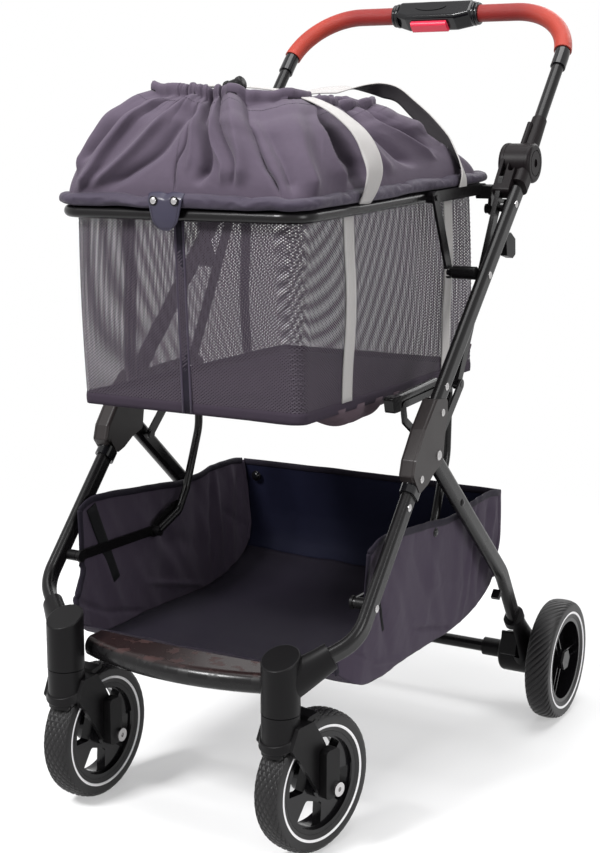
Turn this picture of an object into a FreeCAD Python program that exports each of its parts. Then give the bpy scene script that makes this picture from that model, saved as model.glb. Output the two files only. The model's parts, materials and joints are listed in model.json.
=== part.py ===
"""A folding four-wheeled stroller frame with a lift-out mesh basket and a fabric tub below.

Units are millimetres and +Z is up.  X runs across the stroller, right positive, and +Y runs to the
rear.  Heights are above the ground.  Y is measured from a datum just behind the front casters; every
shape is moved by ORIGIN_Y on export, so that the part's origin is the middle of its base.
"""

import os
from math import cos, radians, sin, tan

import FreeCAD
import Part

V = FreeCAD.Vector
X, Z = V(1, 0, 0), V(0, 0, 1)

# ---- driving dimensions ----------------------------------------------------------------------
ORIGIN_Y = 286.56           # datum to the middle of the part's base
GAP = 0.3                   # clearance between soft or curved neighbours
PIN_PLAY = 0.05             # radial running clearance of pins and axles

TUBE_X = 239.0              # middle of the side frame's oval tubes
TUBE_THICK = 15.0           # oval tube, across the stroller
TUBE_DEEP = 26.5            # oval tube, in the side view
TUBE_IN = TUBE_X - TUBE_THICK / 2
TUBE_OUT = TUBE_X + TUBE_THICK / 2

WHEEL_R = 92.0
WHEEL_HALF = 19.0
RIM_R = 66.0
FRONT_AXLE_R = 5.0
REAR_AXLE_R = 6.0

CASTER_X, CASTER_Y = 163.4, -99.0
CASTER_TRAIL = 58.5
CASTER_REST = {"right": 12.2, "left": 1.6}     # degrees that each caster is swung at rest
COLUMN_R = 24.5
GROOVE = 1.2                                   # line that shows between a column and its swivel
COLUMN_FOOT = 198.0
CAP_Z, CAP_TILT = 268.0, 23.0
STEM_R = 8.0

LEG_BEND = V(TUBE_X, -41.0, 285.0)             # corner where the leg turns in to its housing
LEG_TOP = V(TUBE_X, 118.0, 461.0)
LEG_FOOT = V(CASTER_X, CASTER_Y, 235.0)
LEG_BEND_R = 60.0
SOCKET_LENGTH = 70.0                           # depth of the branch that holds the front leg

FOLD_Y, FOLD_Z, FOLD_PIN_R = 162.0, 479.0, 5.0   # pivot of the rear frame
BRACKET_PINS = ((172, 534), (110, 457))
PUSH_FOOT = V(TUBE_X, 126.0, 494.5)            # the push tube rises at 45 degrees
PUSH_TOP = V(TUBE_X, 441.5, 810.0)

HUB_Y, HUB_Z, HUB_R = 481.0, 849.0, 28.5
HUB = V(0, HUB_Y, HUB_Z)
HUB_IN, HUB_OUT = 203.0, 251.0
KNUCKLE_IN, KNUCKLE_OUT = 211.5, 243.0
HANDLE_ANGLE = 48.2                            # slope of the handle above the horizontal
HANDLE_DIR = V(0, cos(radians(HANDLE_ANGLE)), sin(radians(HANDLE_ANGLE)))
HANDLE_NORMAL = X.cross(HANDLE_DIR)
HANDLE_X = 234.0
HANDLE_RISE = 306.0                            # hub centre to the middle of the push bar
HANDLE_BEND_R = 100.0
HANDLE_FOLD = -120.0                           # swing of the handle to its folded place
HANDLE_TUBE_R = 9.0
GRIP_R = 13.5
BUTTON_LEFT, BUTTON_RIGHT = -37.0, 24.0
BUTTON_WELL, BUTTON_TRAVEL = -10.0, 6.0        # end of the button's well, below the bar's middle

REAR_AXLE_Y = 541.6
REAR_WHEEL_X = 287.0
AXLE_TUBE_R = 9.5
PEDAL_Y, PEDAL_Z = 517.0, 116.0
LEG_KNEE = V(TUBE_X, 424.0, 252.0)
LEG_END = V(TUBE_X, 482.0, 166.0)

RAIL_IN, RAIL_OUT = 214.0, 221.0               # sliding pull rail, between the basket and push tube
RAIL_FOOT = V(0, 292.0, 552.0)
RAIL_HEAD = V(0, 437.5, 825.0)
LINK_IN, LINK_OUT = 222.0, 225.0
LINK_EYE = V(0, 188.0, 457.0)                  # where the fold link meets the rear leg
BRACE_EYE = V(0, 0.0, 318.0)                   # where the lower bar meets the front leg
ELBOW = V(0, 178.0, 314.0)                     # lower bar to side tube
SIDE_X = 205.0

RING_X, RING_TUBE_R = 174.0, 7.5
RING_FRONT = V(0, -73.0, 793.0)
RING_REAR = V(0, 476.0, 814.6)
RING_BEND_R = 31.0
RING_PIVOT = V(0, 437.0, 785.0)
PROP_RIVET = V(0, 263.0, 806.0)
PROP_FOOT = V(0, 313.0, 703.0)
PROP_PEG_R, HOOK_HALF = 4.0, 5.0               # the peg, and half the mouth of the hook that drops over it

BASKET_HALF = 164.0
BASKET_FLOOR = 547.0
BASKET_FRONT, BASKET_REAR = -48.0, 475.0
BASKET_WALL = 2.0
NET_ACROSS, NET_ALONG, NET_UP = 7, 11, 5       # windows across the front, along the side and up
NET_MARGIN, NET_LEDGE, NET_BAR = 24.0, 14.0, 9.0
RIM_THICK = 16.0
COVER_BASE = RING_TUBE_R + GAP + RIM_THICK     # top of the padded rim, above the ring's middle
COVER_RINGS = (                                # half width, front y, rear y, height, corner radius
    (178, -74, 464, 0, 40),
    (176, -76, 446, 36, 60),
    (158, -56, 408, 76, 80),
    (108, 6, 346, 106, 80),
    (84, 40, 312, 116, 70),
)
STRAP_YS = (50.0, 350.0)
STRAP_WIDE, STRAP_THICK, STRAP_FOOT = 30.0, 2.0, 560.0
TUB_WALL = 3.0
TUB_TOP_X, TUB_FLOOR_X = 228.0, 212.0

parts = {}


# ---- small tools -----------------------------------------------------------------------------
def cylinder(start, direction, radius, length):
    return Part.makeCylinder(radius, length, start, direction)


def pin(y, z, radius, x0, x1):
    """A round pin across the stroller."""
    return cylinder(V(x0, y, z), X, radius, x1 - x0)


def tube_between(a, b, radius):
    return cylinder(a, b - a, radius, (b - a).Length)


def round_corners(points, radii, closed):
    """Straight runs through the points, with a tangent arc of its own radius at each corner."""
    count = len(points)
    corners = range(count) if closed else range(1, count - 1)
    arcs = []
    for order, i in enumerate(corners):
        corner = points[i]
        back = (points[i - 1] - corner).normalize()
        ahead = (points[(i + 1) % count] - corner).normalize()
        radius = radii[order] if isinstance(radii, list) else radii
        half = back.getAngle(ahead) / 2
        reach = radius / tan(half)
        bisector = (back + ahead).normalize()
        middle = corner + bisector * (radius / sin(half) - radius)
        arcs.append((corner + back * reach, middle, corner + ahead * reach))
    edges = [] if closed else [Part.makeLine(points[0], arcs[0][0])]
    for i, (start, middle, end) in enumerate(arcs):
        edges.append(Part.Arc(start, middle, end).toShape())
        last = i == len(arcs) - 1
        target = (arcs[0][0] if closed else points[-1]) if last else arcs[i + 1][0]
        if (target - end).Length > 1e-6:
            edges.append(Part.makeLine(end, target))
    return Part.Wire(edges)


def outline(pairs, x, radii):
    """A closed, rounded outline in the side view, from (y, z) corners."""
    return round_corners([V(x, y, z) for y, z in pairs], radii, True)


def plate(pairs, x0, x1, radii):
    return Part.Face(outline(pairs, x0, radii)).extrude(V(x1 - x0, 0, 0))


def bar(a, b, half, x0, x1):
    """A flat bar with round ends in the side view, from eye to eye."""
    start, end = V(x0, a.y, a.z), V(x0, b.y, b.z)
    along = (end - start).normalize()
    side = X.cross(along) * half
    tip, tail = end + along * half, start - along * half
    edges = [
        Part.makeLine(start + side, end + side),
        Part.Arc(end + side, tip, end - side).toShape(),
        Part.makeLine(end - side, start - side),
        Part.Arc(start - side, tail, start + side).toShape(),
    ]
    return Part.Face(Part.Wire(edges)).extrude(V(x1 - x0, 0, 0))


def oval_wire(centre, along, thick, deep, across=X):
    """A flat-sided oval: two straight faces joined by half rounds."""
    up = across.cross(along).normalize()
    side = across * (thick / 2)
    flat = up * ((deep - thick) / 2)
    top = up * (deep / 2)
    edges = [
        Part.makeLine(centre + side - flat, centre + side + flat),
        Part.Arc(centre + side + flat, centre + top, centre - side + flat).toShape(),
        Part.makeLine(centre - side + flat, centre - side - flat),
        Part.Arc(centre - side - flat, centre - top, centre + side - flat).toShape(),
    ]
    return Part.Wire(edges)


def oval_tube(a, b, thick=TUBE_THICK, deep=TUBE_DEEP):
    return Part.Face(oval_wire(a, (b - a).normalize(), thick, deep)).extrude(b - a)


def sweep(path, profile, normal):
    """The profile carried along a path that lies in one plane."""
    shell = Part.BRepOffsetAPI.MakePipeShell(path)
    shell.setBiNormalMode(normal)
    shell.add(profile)
    shell.build()
    shell.makeSolid()
    return shell.shape()


def round_tube(points, bend, radius, normal):
    path = round_corners(points, bend, False)
    start = (points[1] - points[0]).normalize()
    profile = Part.Wire(Part.makeCircle(radius, points[0], start))
    return sweep(path, profile, normal)


def ellipse_wire(centre, major, minor):
    return Part.Wire(Part.Ellipse(centre + major, centre + minor, centre).toShape())


def fuse(shapes):
    return shapes[0].fuse(shapes[1:]).removeSplitter()


def mirror(shape):
    return shape.mirror(V(0, 0, 0), X)


def turned(shape, point, axis, degrees):
    copy = shape.copy()
    copy.rotate(point, axis, degrees)
    return copy


def both(shape):
    """The shape and its mirror image, as separate solids of one node."""
    return Part.makeCompound([shape, mirror(shape)])


def add(name, shape):
    parts[name] = shape


def add_pair(stem, shape):
    add(stem + "_right", shape)
    add(stem + "_left", mirror(shape))


def rounded(shape, radius, wanted):
    edges = [edge for edge in shape.Edges if wanted(edge)]
    return shape.makeFillet(radius, edges)


# ---- wheels ----------------------------------------------------------------------------------
def tyre():
    """Solid tyre about the X axis, with a full crown and a flat seat on the rim."""
    half, seat = WHEEL_HALF, RIM_R
    crown = Part.Arc(V(-half, 0, 77), V(0, 0, WHEEL_R), V(half, 0, 77))
    shoulder = 3.0
    edges = [
        Part.makeLine(V(-half + shoulder, 0, seat), V(-half, 0, 77)),
        crown.toShape(),
        Part.makeLine(V(half, 0, 77), V(half - shoulder, 0, seat)),
        Part.makeLine(V(half - shoulder, 0, seat), V(-half + shoulder, 0, seat)),
    ]
    return Part.Face(Part.Wire(edges)).revolve(V(0, 0, 0), X, 360)


def ring_about_x(inner, outer, x0, x1):
    return pin(0, 0, outer, x0, x1).cut(pin(0, 0, inner, x0 - 1, x1 + 1))


def front_rim():
    """Deep barrel with four broad spokes, open between them, and a long hub."""
    barrel = ring_about_x(60, RIM_R, -16, 16)
    disc = ring_about_x(18, 61, -3, 11)
    for i in range(4):
        window = plate([(-31, 78), (31, 78), (15.5, 25), (-15.5, 25)], -4, 12, 5)
        window = window.common(pin(0, 0, 57, -4, 12))
        disc = disc.cut(turned(window, V(0, 0, 0), X, 90 * i - 20))
    hub = pin(0, 0, 19, -19, 19)
    rim = fuse([barrel, disc, hub])
    return rim.cut(pin(0, 0, FRONT_AXLE_R + PIN_PLAY, -20, 20))


def rear_rim():
    """Deep closed dish with three pairs of thin ribs that spread towards the rim."""
    barrel = ring_about_x(60, RIM_R, -16, 16)
    dish = pin(0, 0, 61, -14, -9)
    hub = pin(0, 0, 15, -14, 13)
    ribs = []
    for i in range(3):
        for offset in (-8, 6):
            rib = Part.makeBox(20, 2, 50, V(-12, offset, 11))
            ribs.append(turned(rib, V(0, 0, 0), X, 120 * i + 30))
    rim = fuse([barrel, dish, hub] + ribs)
    return rim.cut(pin(0, 0, REAR_AXLE_R + PIN_PLAY, -20, 20))


def hub_cap():
    """Six-sided cap that closes the rear wheel's hub."""
    corners = [(16 * cos(radians(60 * i)), 16 * sin(radians(60 * i))) for i in range(6)]
    return plate(corners, 13, 16.5, 1.5)


# ---- front casters ---------------------------------------------------------------------------
# Drawn with the swivel axis on Z, trailing along +Y, and then set in place.
def caster_fork():
    """Swivel neck with a dished skirt, a short mudguard, two raked cheeks and their damper pods."""
    neck = cylinder(V(0, 0, 146), Z, COLUMN_R - 0.3, COLUMN_FOOT - 146 - GROOVE)
    skirt = Part.makeCone(COLUMN_R, 29, 11, V(0, 0, 0), -Z)
    skirt = rounded(skirt, 2, lambda edge: isinstance(edge.Curve, Part.Circle))
    skirt = turned(skirt, V(0, 0, 0), X, 20)
    skirt.translate(V(0, -3, 170))
    guard = plate([(-6, 160), (16, 182), (28, 189), (47, 192), (47, 181), (18, 166), (0, 146)],
                  -22, 22, 3)
    cheek = plate([(-9, 158), (38, 88), (46, 82), (58, 79), (71, 86), (72, 98), (54, 143),
                   (42, 164), (27, 186), (0, 184)], 24, 30, 3)
    shoulder = plate([(-12, 158), (0, 143), (38, 166), (27, 186), (0, 184)], -30, 30, 3)
    body = fuse([neck, skirt, guard, cheek, mirror(cheek), shoulder])
    clear = WHEEL_HALF + 4
    body = body.cut(pin(CASTER_TRAIL, WHEEL_R, WHEEL_R + 3, -clear, clear))
    pod = plate([(38, 146), (38, 82), (63, 82), (63, 146)], 28, 42, 6)
    stem = cylinder(V(0, 0, 184), Z, STEM_R, 50)
    body = fuse([body, stem, pod, mirror(pod)])
    return body.cut(pin(CASTER_TRAIL, WHEEL_R, FRONT_AXLE_R, -50, 50))


def front_axle():
    """Axle bolt with a boss and a hexagon-socket head at each end."""
    shaft = pin(CASTER_TRAIL, WHEEL_R, FRONT_AXLE_R, -42, 42)
    head = pin(CASTER_TRAIL, WHEEL_R, 9, 42, 46)
    socket = pin(CASTER_TRAIL, WHEEL_R, 3, 44, 47)
    head = head.cut(socket)
    return fuse([shaft, head, mirror(head)])


def place_caster(shape, side):
    """Swings a caster piece to its rest angle and sets it under its housing."""
    sign = 1 if side == "right" else -1
    set_down = turned(shape, V(0, 0, 0), Z, -CASTER_REST[side])
    set_down.translate(V(sign * CASTER_X, CASTER_Y, 0))
    return set_down


def casters():
    wheel_centre = V(0, CASTER_TRAIL, WHEEL_R)
    for side in ("right", "left"):
        pieces = {"caster_fork": caster_fork(), "front_axle": front_axle()}
        for name, shape in (("front_tyre", tyre()), ("front_rim", front_rim())):
            shape.translate(wheel_centre)
            pieces[name] = shape
        for name, shape in pieces.items():
            add(name + "_" + side, place_caster(shape, side))


# ---- side frame ------------------------------------------------------------------------------
def leg_socket_axis():
    return (LEG_BEND - LEG_FOOT).normalize()


def front_housing():
    """Swivel housing: a round column with a tilted cap and a deep branch that holds the leg tube."""
    column = cylinder(V(CASTER_X, CASTER_Y, COLUMN_FOOT), Z, COLUMN_R, 100)
    rise = tan(radians(CAP_TILT)) * 60
    below_cap = plate([(CASTER_Y - 60, 180), (CASTER_Y + 60, 180), (CASTER_Y + 60, CAP_Z + rise),
                       (CASTER_Y - 60, CAP_Z - rise)], CASTER_X - 60, CASTER_X + 60, 1)
    column = column.common(below_cap)
    column = rounded(column, 2.5, lambda edge: edge.CenterOfMass.z > CAP_Z - 8)
    along = leg_socket_axis()
    across = Z.cross(along).normalize()
    upward = along.cross(across).normalize()
    mouth = LEG_FOOT + along * SOCKET_LENGTH
    waist = LEG_FOOT + along * 38 - Z * 3
    rings = [ellipse_wire(LEG_FOOT - Z * 4, Z * 32, across * 21),
             ellipse_wire(waist, upward * 21, across * 16),
             ellipse_wire(mouth, upward * 17.5, across * 13.5)]
    branch = Part.makeLoft(rings, True)
    body = column.fuse(branch)
    bore = cylinder(V(CASTER_X, CASTER_Y, COLUMN_FOOT - 10), Z, STEM_R + PIN_PLAY, 56)
    return body.cut(bore)


def leg_tube():
    """Oval front leg, turning in above the caster to meet its housing."""
    mouth = LEG_FOOT + leg_socket_axis() * SOCKET_LENGTH
    along = (LEG_BEND - LEG_TOP).normalize()
    normal = along.cross(mouth - LEG_BEND).normalize()
    path = round_corners([LEG_TOP, LEG_BEND, mouth], LEG_BEND_R, False)
    tube = sweep(path, oval_wire(LEG_TOP, along, TUBE_THICK, TUBE_DEEP), normal)
    return tube.cut(bracket_pins(4)[1])


def push_tube():
    return oval_tube(PUSH_FOOT, PUSH_TOP).cut(bracket_pins(4)[0])


def leg_collar():
    along = (LEG_TOP - LEG_BEND).normalize()
    start = LEG_TOP - along * 34
    outer = oval_tube(start, start + along * 16, TUBE_THICK + 6, TUBE_DEEP + 7)
    return outer.cut(oval_tube(start - along, start + along * 17)).cut(side_bracket())


def footboard():
    """Bowed step between the two housings, rounded in front and ribbed underneath."""
    reach, low, high = 150.0, 206.0, 233.0
    front = Part.Arc(V(-reach, -75, low), V(0, -106, low), V(reach, -75, low)).toShape()
    back = Part.Arc(V(reach, -38, low), V(0, -44, low), V(-reach, -38, low)).toShape()
    ends = [Part.makeLine(V(reach, -75, low), V(reach, -38, low)),
            Part.makeLine(V(-reach, -38, low), V(-reach, -75, low))]
    board = Part.Face(Part.Wire([front, ends[0], back, ends[1]])).extrude(V(0, 0, high - low))
    board = rounded(board, 12.5, lambda edge: edge.CenterOfMass.y < -85)
    for sign in (-1, 1):
        board = board.cut(cylinder(V(sign * CASTER_X, CASTER_Y, 180), Z, COLUMN_R, 100))
    pocket = Part.makeBox(38, 30, 20, V(-19, -76, low - 1))
    for i in range(-2, 3):
        hollow = pocket.copy()
        hollow.translate(V(44 * i, 0.0004 * (44 * i) ** 2, 0))
        board = board.cut(hollow)
    return board


def bracket_pins(radius):
    return [pin(y, z, radius, TUBE_IN - 4, TUBE_OUT + 4) for y, z in BRACKET_PINS]


def side_bracket():
    """Two shaped cheeks on through pins, clasping the leg, the push tube and the rear leg."""
    rear = [(187, 550), (188, 530), (180, 500), (175, 467), (150, 459), (130, 447)]
    outer = plate([(155, 554)] + rear + [(105, 439), (86, 464), (92, 484), (120, 520)],
                  TUBE_OUT + 1, TUBE_OUT + 4, 6)
    inner = plate([(166, 553)] + rear + [(112, 441), (97, 462), (103, 484), (131, 520)],
                  TUBE_IN - 4, TUBE_IN - 1, 6)
    fold_pin = pin(FOLD_Y, FOLD_Z, FOLD_PIN_R, TUBE_IN - 4, TUBE_OUT + 4)
    web = plate([(93, 452), (86, 464), (92, 484), (120, 520), (155, 554), (166, 549), (128, 507),
                 (105, 470)], TUBE_IN - 4, TUBE_OUT + 4, 3)
    web = rounded(web, 5, lambda edge: edge.BoundBox.XLength < 0.01 and edge.Length > 15
                  and edge.CenterOfMass.z > edge.CenterOfMass.y + 374)
    web = web.cut(oval_tube(PUSH_FOOT, PUSH_TOP)).cut(leg_tube())
    return fuse([outer, inner, fold_pin, web] + bracket_pins(4))


def rivet(y, z, x, radius=5.0):
    """Domed head standing on an outer face."""
    dome = Part.makeSphere(radius * 1.6, V(x - radius * 1.1, y, z))
    return dome.common(pin(y, z, radius, x, x + 4))


def frame_rivets():
    heads = [rivet(83, 425, TUBE_OUT), rivet(-7, 317, TUBE_OUT), rivet(192, 565, TUBE_OUT),
             rivet(330, 700, TUBE_OUT), rivet(420.5, 793, TUBE_OUT),
             rivet(172, 534, TUBE_OUT + 4), rivet(110, 457, TUBE_OUT + 4),
             rivet(FOLD_Y, FOLD_Z, TUBE_OUT + 4, 6.5)]
    return Part.makeCompound(heads + [mirror(head) for head in heads])


def hub_base():
    """Fixed half of the handle hinge: two round cheeks, a boot on the push tube and a tongue.

    The neck is cleared for the socket's arm at the end of its swing, where the handle is folded.
    """
    cheeks = []
    for inner, outer in ((KNUCKLE_IN - GAP, HUB_IN), (KNUCKLE_OUT + GAP, HUB_OUT)):
        cheek = pin(HUB_Y, HUB_Z, HUB_R, min(inner, outer), max(inner, outer))
        cheeks.append(rounded(cheek, 5, lambda edge: abs(edge.BoundBox.XMin - outer) < 0.01
                              and edge.BoundBox.XLength < 0.01))
    well = cylinder(HUB + X * (HUB_OUT - 2.5), X, 6, 5)
    groove = ring_at_hub(HUB_R - 11, HUB_R - 9.5, HUB_OUT - 1, HUB_OUT + 1)
    cheeks[1] = cheeks[1].cut(well).cut(groove)
    slope = (PUSH_TOP - PUSH_FOOT).normalize()
    hub = V(TUBE_X, HUB_Y, HUB_Z)
    boot = oval_tube(hub - slope * 47, hub - slope * 12, TUBE_THICK + 7, TUBE_DEEP + 7)
    tongue = plate([(420, 812), (434, 798), (482, 838), (458, 862)], RAIL_IN - 5, TUBE_IN + 2, 6)
    neck = fuse([boot, tongue])
    neck = neck.cut(pin(HUB_Y, HUB_Z, HUB_R + GAP, KNUCKLE_IN - GAP, KNUCKLE_OUT + GAP))
    for swing in (HANDLE_FOLD, HANDLE_FOLD + 5, HANDLE_FOLD + 10):
        neck = neck.cut(turned(socket_arm(0.8), HUB, -X, swing))
    body = fuse(cheeks + [neck])
    axle = pin(HUB_Y, HUB_Z, 6, KNUCKLE_IN - 3, KNUCKLE_OUT + 3)
    body = fuse([body, axle])
    slot = rail_bar(7 + GAP, RAIL_IN - GAP, RAIL_OUT + GAP, 30)
    return body.cut(oval_tube(PUSH_FOOT, PUSH_TOP)).cut(slot).cut(ring_lug())


def ring_at_hub(inner, outer, x0, x1):
    return pin(HUB_Y, HUB_Z, outer, x0, x1).cut(pin(HUB_Y, HUB_Z, inner, x0 - 1, x1 + 1))


def storage_hook():
    """Small catch behind the push tube that holds the frame shut when it is folded."""
    catch = plate([(392, 752), (410, 754), (428, 744), (430, 722), (420, 717), (398, 722)],
                  TUBE_X - 5, TUBE_X + 5, 3)
    return catch.cut(oval_tube(PUSH_FOOT, PUSH_TOP))


def ring_lug():
    """Plate on the push tube that carries the basket ring's pivot pin, and the prop's bush and peg."""
    lug = bar(V(0, 418, 790), RING_PIVOT, 10, TUBE_IN - 4, TUBE_IN)
    pivot = pin(RING_PIVOT.y, RING_PIVOT.z, 4, 196, TUBE_IN - 4)
    washer = pin(RING_PIVOT.y, RING_PIVOT.z, 7, 194, 199.5)
    bush = pin(PROP_FOOT.y + 4, PROP_FOOT.z, 9, 198, TUBE_IN)
    peg = pin(PROP_FOOT.y, PROP_FOOT.z, PROP_PEG_R, 190.4, 198)
    return Part.makeCompound([fuse([lug, pivot, washer]), bush, peg])


def base_bar():
    """Short arms beside the basket: a round bar, a flat bar below it and their cranked stay."""
    round_bar = tube_between(V(202, 112, 551.5), V(202, 252, 559), 6.5)
    block = plate([(106, 559), (136, 559), (132, 538), (112, 538)], 196, 209, 4)
    lower = bar(V(0, 146, 545), V(0, 241, 549), 4.5, 205, 209)
    stay = bar(V(0, 143, 543), V(0, 148, 523), 5, 205, 209)
    foot = bar(V(0, 148, 523), V(0, 180, 503), 5, 205, 209)
    foot_pin = pin(180, 503, 4, 205, TUBE_IN - 4)
    return fuse([round_bar, block, lower, stay, foot, foot_pin])


def brace_peg():
    """Stand-off on the front leg, with the shouldered pin that the lower bar turns on."""
    post = pin(BRACE_EYE.y, BRACE_EYE.z, 7.5, 216.3, TUBE_IN)
    shaft = pin(BRACE_EYE.y, BRACE_EYE.z, 5, 212, 216.3)
    head = pin(BRACE_EYE.y, BRACE_EYE.z, 8.5, 208.5, 212.2)
    return fuse([post, shaft, head])


def side_frames():
    add_pair("front_housing", front_housing())
    add("leg_tubes", both(leg_tube()))
    add("leg_collars", both(leg_collar()))
    add("footboard", footboard())
    add("side_brackets", both(side_bracket()))
    add("frame_rivets", frame_rivets())
    add("push_tubes", both(push_tube()))
    add("hub_bases", both(hub_base()))
    add("storage_hook", storage_hook())
    add("ring_lugs", both(ring_lug()))
    add("base_bars", both(base_bar()))
    add("brace_pegs", both(brace_peg()))


# ---- lower tub -------------------------------------------------------------------------------
def tapered(pairs, floor_x, top_x, low, high):
    """A side-view outline given width, narrower at the floor than at the top."""
    body = plate(pairs, -top_x - 1, top_x + 1, 12)
    flank = Part.makePolygon([V(-floor_x, -200, low), V(floor_x, -200, low), V(top_x, -200, high),
                              V(-top_x, -200, high), V(-floor_x, -200, low)])
    return body.common(Part.Face(flank).extrude(V(0, 900, 0)))


def lower_basket():
    """Fabric tub, open on top and in front, sagging behind towards the rear axle."""
    skin = [(-34, 236), (51, 184), (204, 174), (377, 193), (446, 226), (474, 288), (440, 374),
            (270, 361), (190, 374), (30, 388), (12, 300)]
    room = [(-60, 262), (-32, 240), (53, 187.5), (204, 177.5), (376, 196.5), (443, 229), (470, 288),
            (432, 386), (424, 460), (-60, 460)]
    outer = tapered(skin, TUB_FLOOR_X, TUB_TOP_X, 172, 388)
    inner = tapered(room, TUB_FLOOR_X - TUB_WALL, TUB_TOP_X - TUB_WALL + 6, 172, 460)
    return outer.cut(inner)


# ---- rear frame ------------------------------------------------------------------------------
def rear_leg():
    path = round_corners([V(TUBE_X, FOLD_Y, FOLD_Z), LEG_KNEE, LEG_END], 80, False)
    along = (LEG_KNEE - V(TUBE_X, FOLD_Y, FOLD_Z)).normalize()
    tube = sweep(path, oval_wire(V(TUBE_X, FOLD_Y, FOLD_Z), along, TUBE_THICK, TUBE_DEEP), X)
    end = pin(FOLD_Y, FOLD_Z, TUBE_DEEP / 2, TUBE_IN, TUBE_OUT)
    stud = pin(LINK_EYE.y, LINK_EYE.z, 2.2, 219, TUBE_IN)
    stud_head = pin(LINK_EYE.y, LINK_EYE.z, 6, 219, 221.5)
    clip = plate([(404, 216), (414, 226), (409, 231), (399, 221)], TUBE_X - 6, TUBE_X + 6, 1)
    head = rivet(253, 396, TUBE_OUT)
    leg = fuse([tube, end, stud, stud_head, clip, head])
    return leg.cut(pin(FOLD_Y, FOLD_Z, FOLD_PIN_R + PIN_PLAY, TUBE_IN - 1, TUBE_OUT + 1))


def rear_housing():
    """Moulded foot: an oval neck that clamps the leg, widening into the brake and axle barrel."""
    axle = V(TUBE_X, REAR_AXLE_Y, WHEEL_R)
    down = (axle - LEG_END).normalize()
    forward = X.cross(down).normalize()
    stations = ((-4, 17, 12), (30, 20, 14), (64, 26, 18), (92, 30, 22))
    neck = Part.makeLoft([ellipse_wire(LEG_END + down * along, forward * deep, X * wide)
                          for along, deep, wide in stations], True)
    ring = oval_tube(LEG_END - down * 6, LEG_END + down * 5, 27, 37)
    barrel = pin(REAR_AXLE_Y, WHEEL_R, 31, 201, 264)
    barrel = rounded(barrel, 6, lambda edge: isinstance(edge.Curve, Part.Circle))
    shaft = pin(REAR_AXLE_Y, WHEEL_R, REAR_AXLE_R, 260, REAR_WHEEL_X + 4)
    spacer = pin(REAR_AXLE_Y, WHEEL_R, 12, 262, REAR_WHEEL_X - 14 - GAP)
    body = fuse([neck, ring, barrel, shaft, spacer])
    leg = oval_tube(LEG_END - (LEG_END - LEG_KNEE).normalize() * 30, LEG_END)
    pocket = plate([(470, 94), (500, 92), (526, 106), (528, 126), (500, 150), (470, 150)], 214, 241, 3)
    body = body.cut(leg).cut(pocket)
    hinge = pin(PEDAL_Y, PEDAL_Z, 3, 210, 245)
    return fuse([body, hinge])


def brake_pedal():
    """Toe pedal that rocks on a short pin in the front of the housing."""
    eye = bar(V(0, PEDAL_Y, PEDAL_Z), V(0, PEDAL_Y - 14, PEDAL_Z + 4), 7, 216, 239)
    pad = plate([(488, 104), (498, 100), (506, 112), (503, 136), (494, 140)], 215, 240, 3)
    return fuse([eye, pad]).cut(pin(PEDAL_Y, PEDAL_Z, 3 + PIN_PLAY, 210, 245))


def rear_axle_tube():
    return pin(REAR_AXLE_Y, WHEEL_R, AXLE_TUBE_R, -201, 201)


def axle_sleeve():
    return ring_at_axle(AXLE_TUBE_R, 14, 168, 201)


def ring_at_axle(inner, outer, x0, x1):
    outer_pin = pin(REAR_AXLE_Y, WHEEL_R, outer, x0, x1)
    return outer_pin.cut(pin(REAR_AXLE_Y, WHEEL_R, inner, x0 - 1, x1 + 1))


def rear_frame():
    add_pair("rear_leg", rear_leg())
    add_pair("rear_housing", rear_housing())
    add("rear_axle_tube", rear_axle_tube())
    add("axle_sleeves", both(axle_sleeve()))
    add_pair("brake_pedal", brake_pedal())
    for stem, shape in (("rear_tyre", tyre()), ("rear_rim", rear_rim()), ("rear_hub_cap", hub_cap())):
        shape.translate(V(REAR_WHEEL_X, REAR_AXLE_Y, WHEEL_R))
        add_pair(stem, shape)


# ---- fold linkage ----------------------------------------------------------------------------
def rail_bar(half, x0, x1, extra):
    along = (RAIL_HEAD - RAIL_FOOT).normalize()
    return bar(RAIL_FOOT, RAIL_HEAD + along * extra, half, x0, x1)


def pull_rail():
    """Flat rail that slides down through the hub as the rear frame folds."""
    rail = rail_bar(7, RAIL_IN, RAIL_OUT, 0)
    joint_pin = pin(RAIL_FOOT.y, RAIL_FOOT.z, 4, 199, LINK_OUT + 0.5)
    return fuse([rail, joint_pin])


def fold_link():
    link = bar(LINK_EYE, RAIL_FOOT, 7.5, LINK_IN, LINK_OUT)
    eye = pin(LINK_EYE.y, LINK_EYE.z, 5.8, 220, 227)
    return link.cut(eye).cut(pin(RAIL_FOOT.y, RAIL_FOOT.z, 4 + PIN_PLAY, 220, 227))


def lower_bar():
    strip = bar(BRACE_EYE, ELBOW, 7, 212.5, 216)
    strip = strip.cut(pin(BRACE_EYE.y, BRACE_EYE.z, 5 + PIN_PLAY, 210, 220))
    return strip.cut(pin(ELBOW.y, ELBOW.z, 4 + PIN_PLAY, 210, 220))


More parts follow.
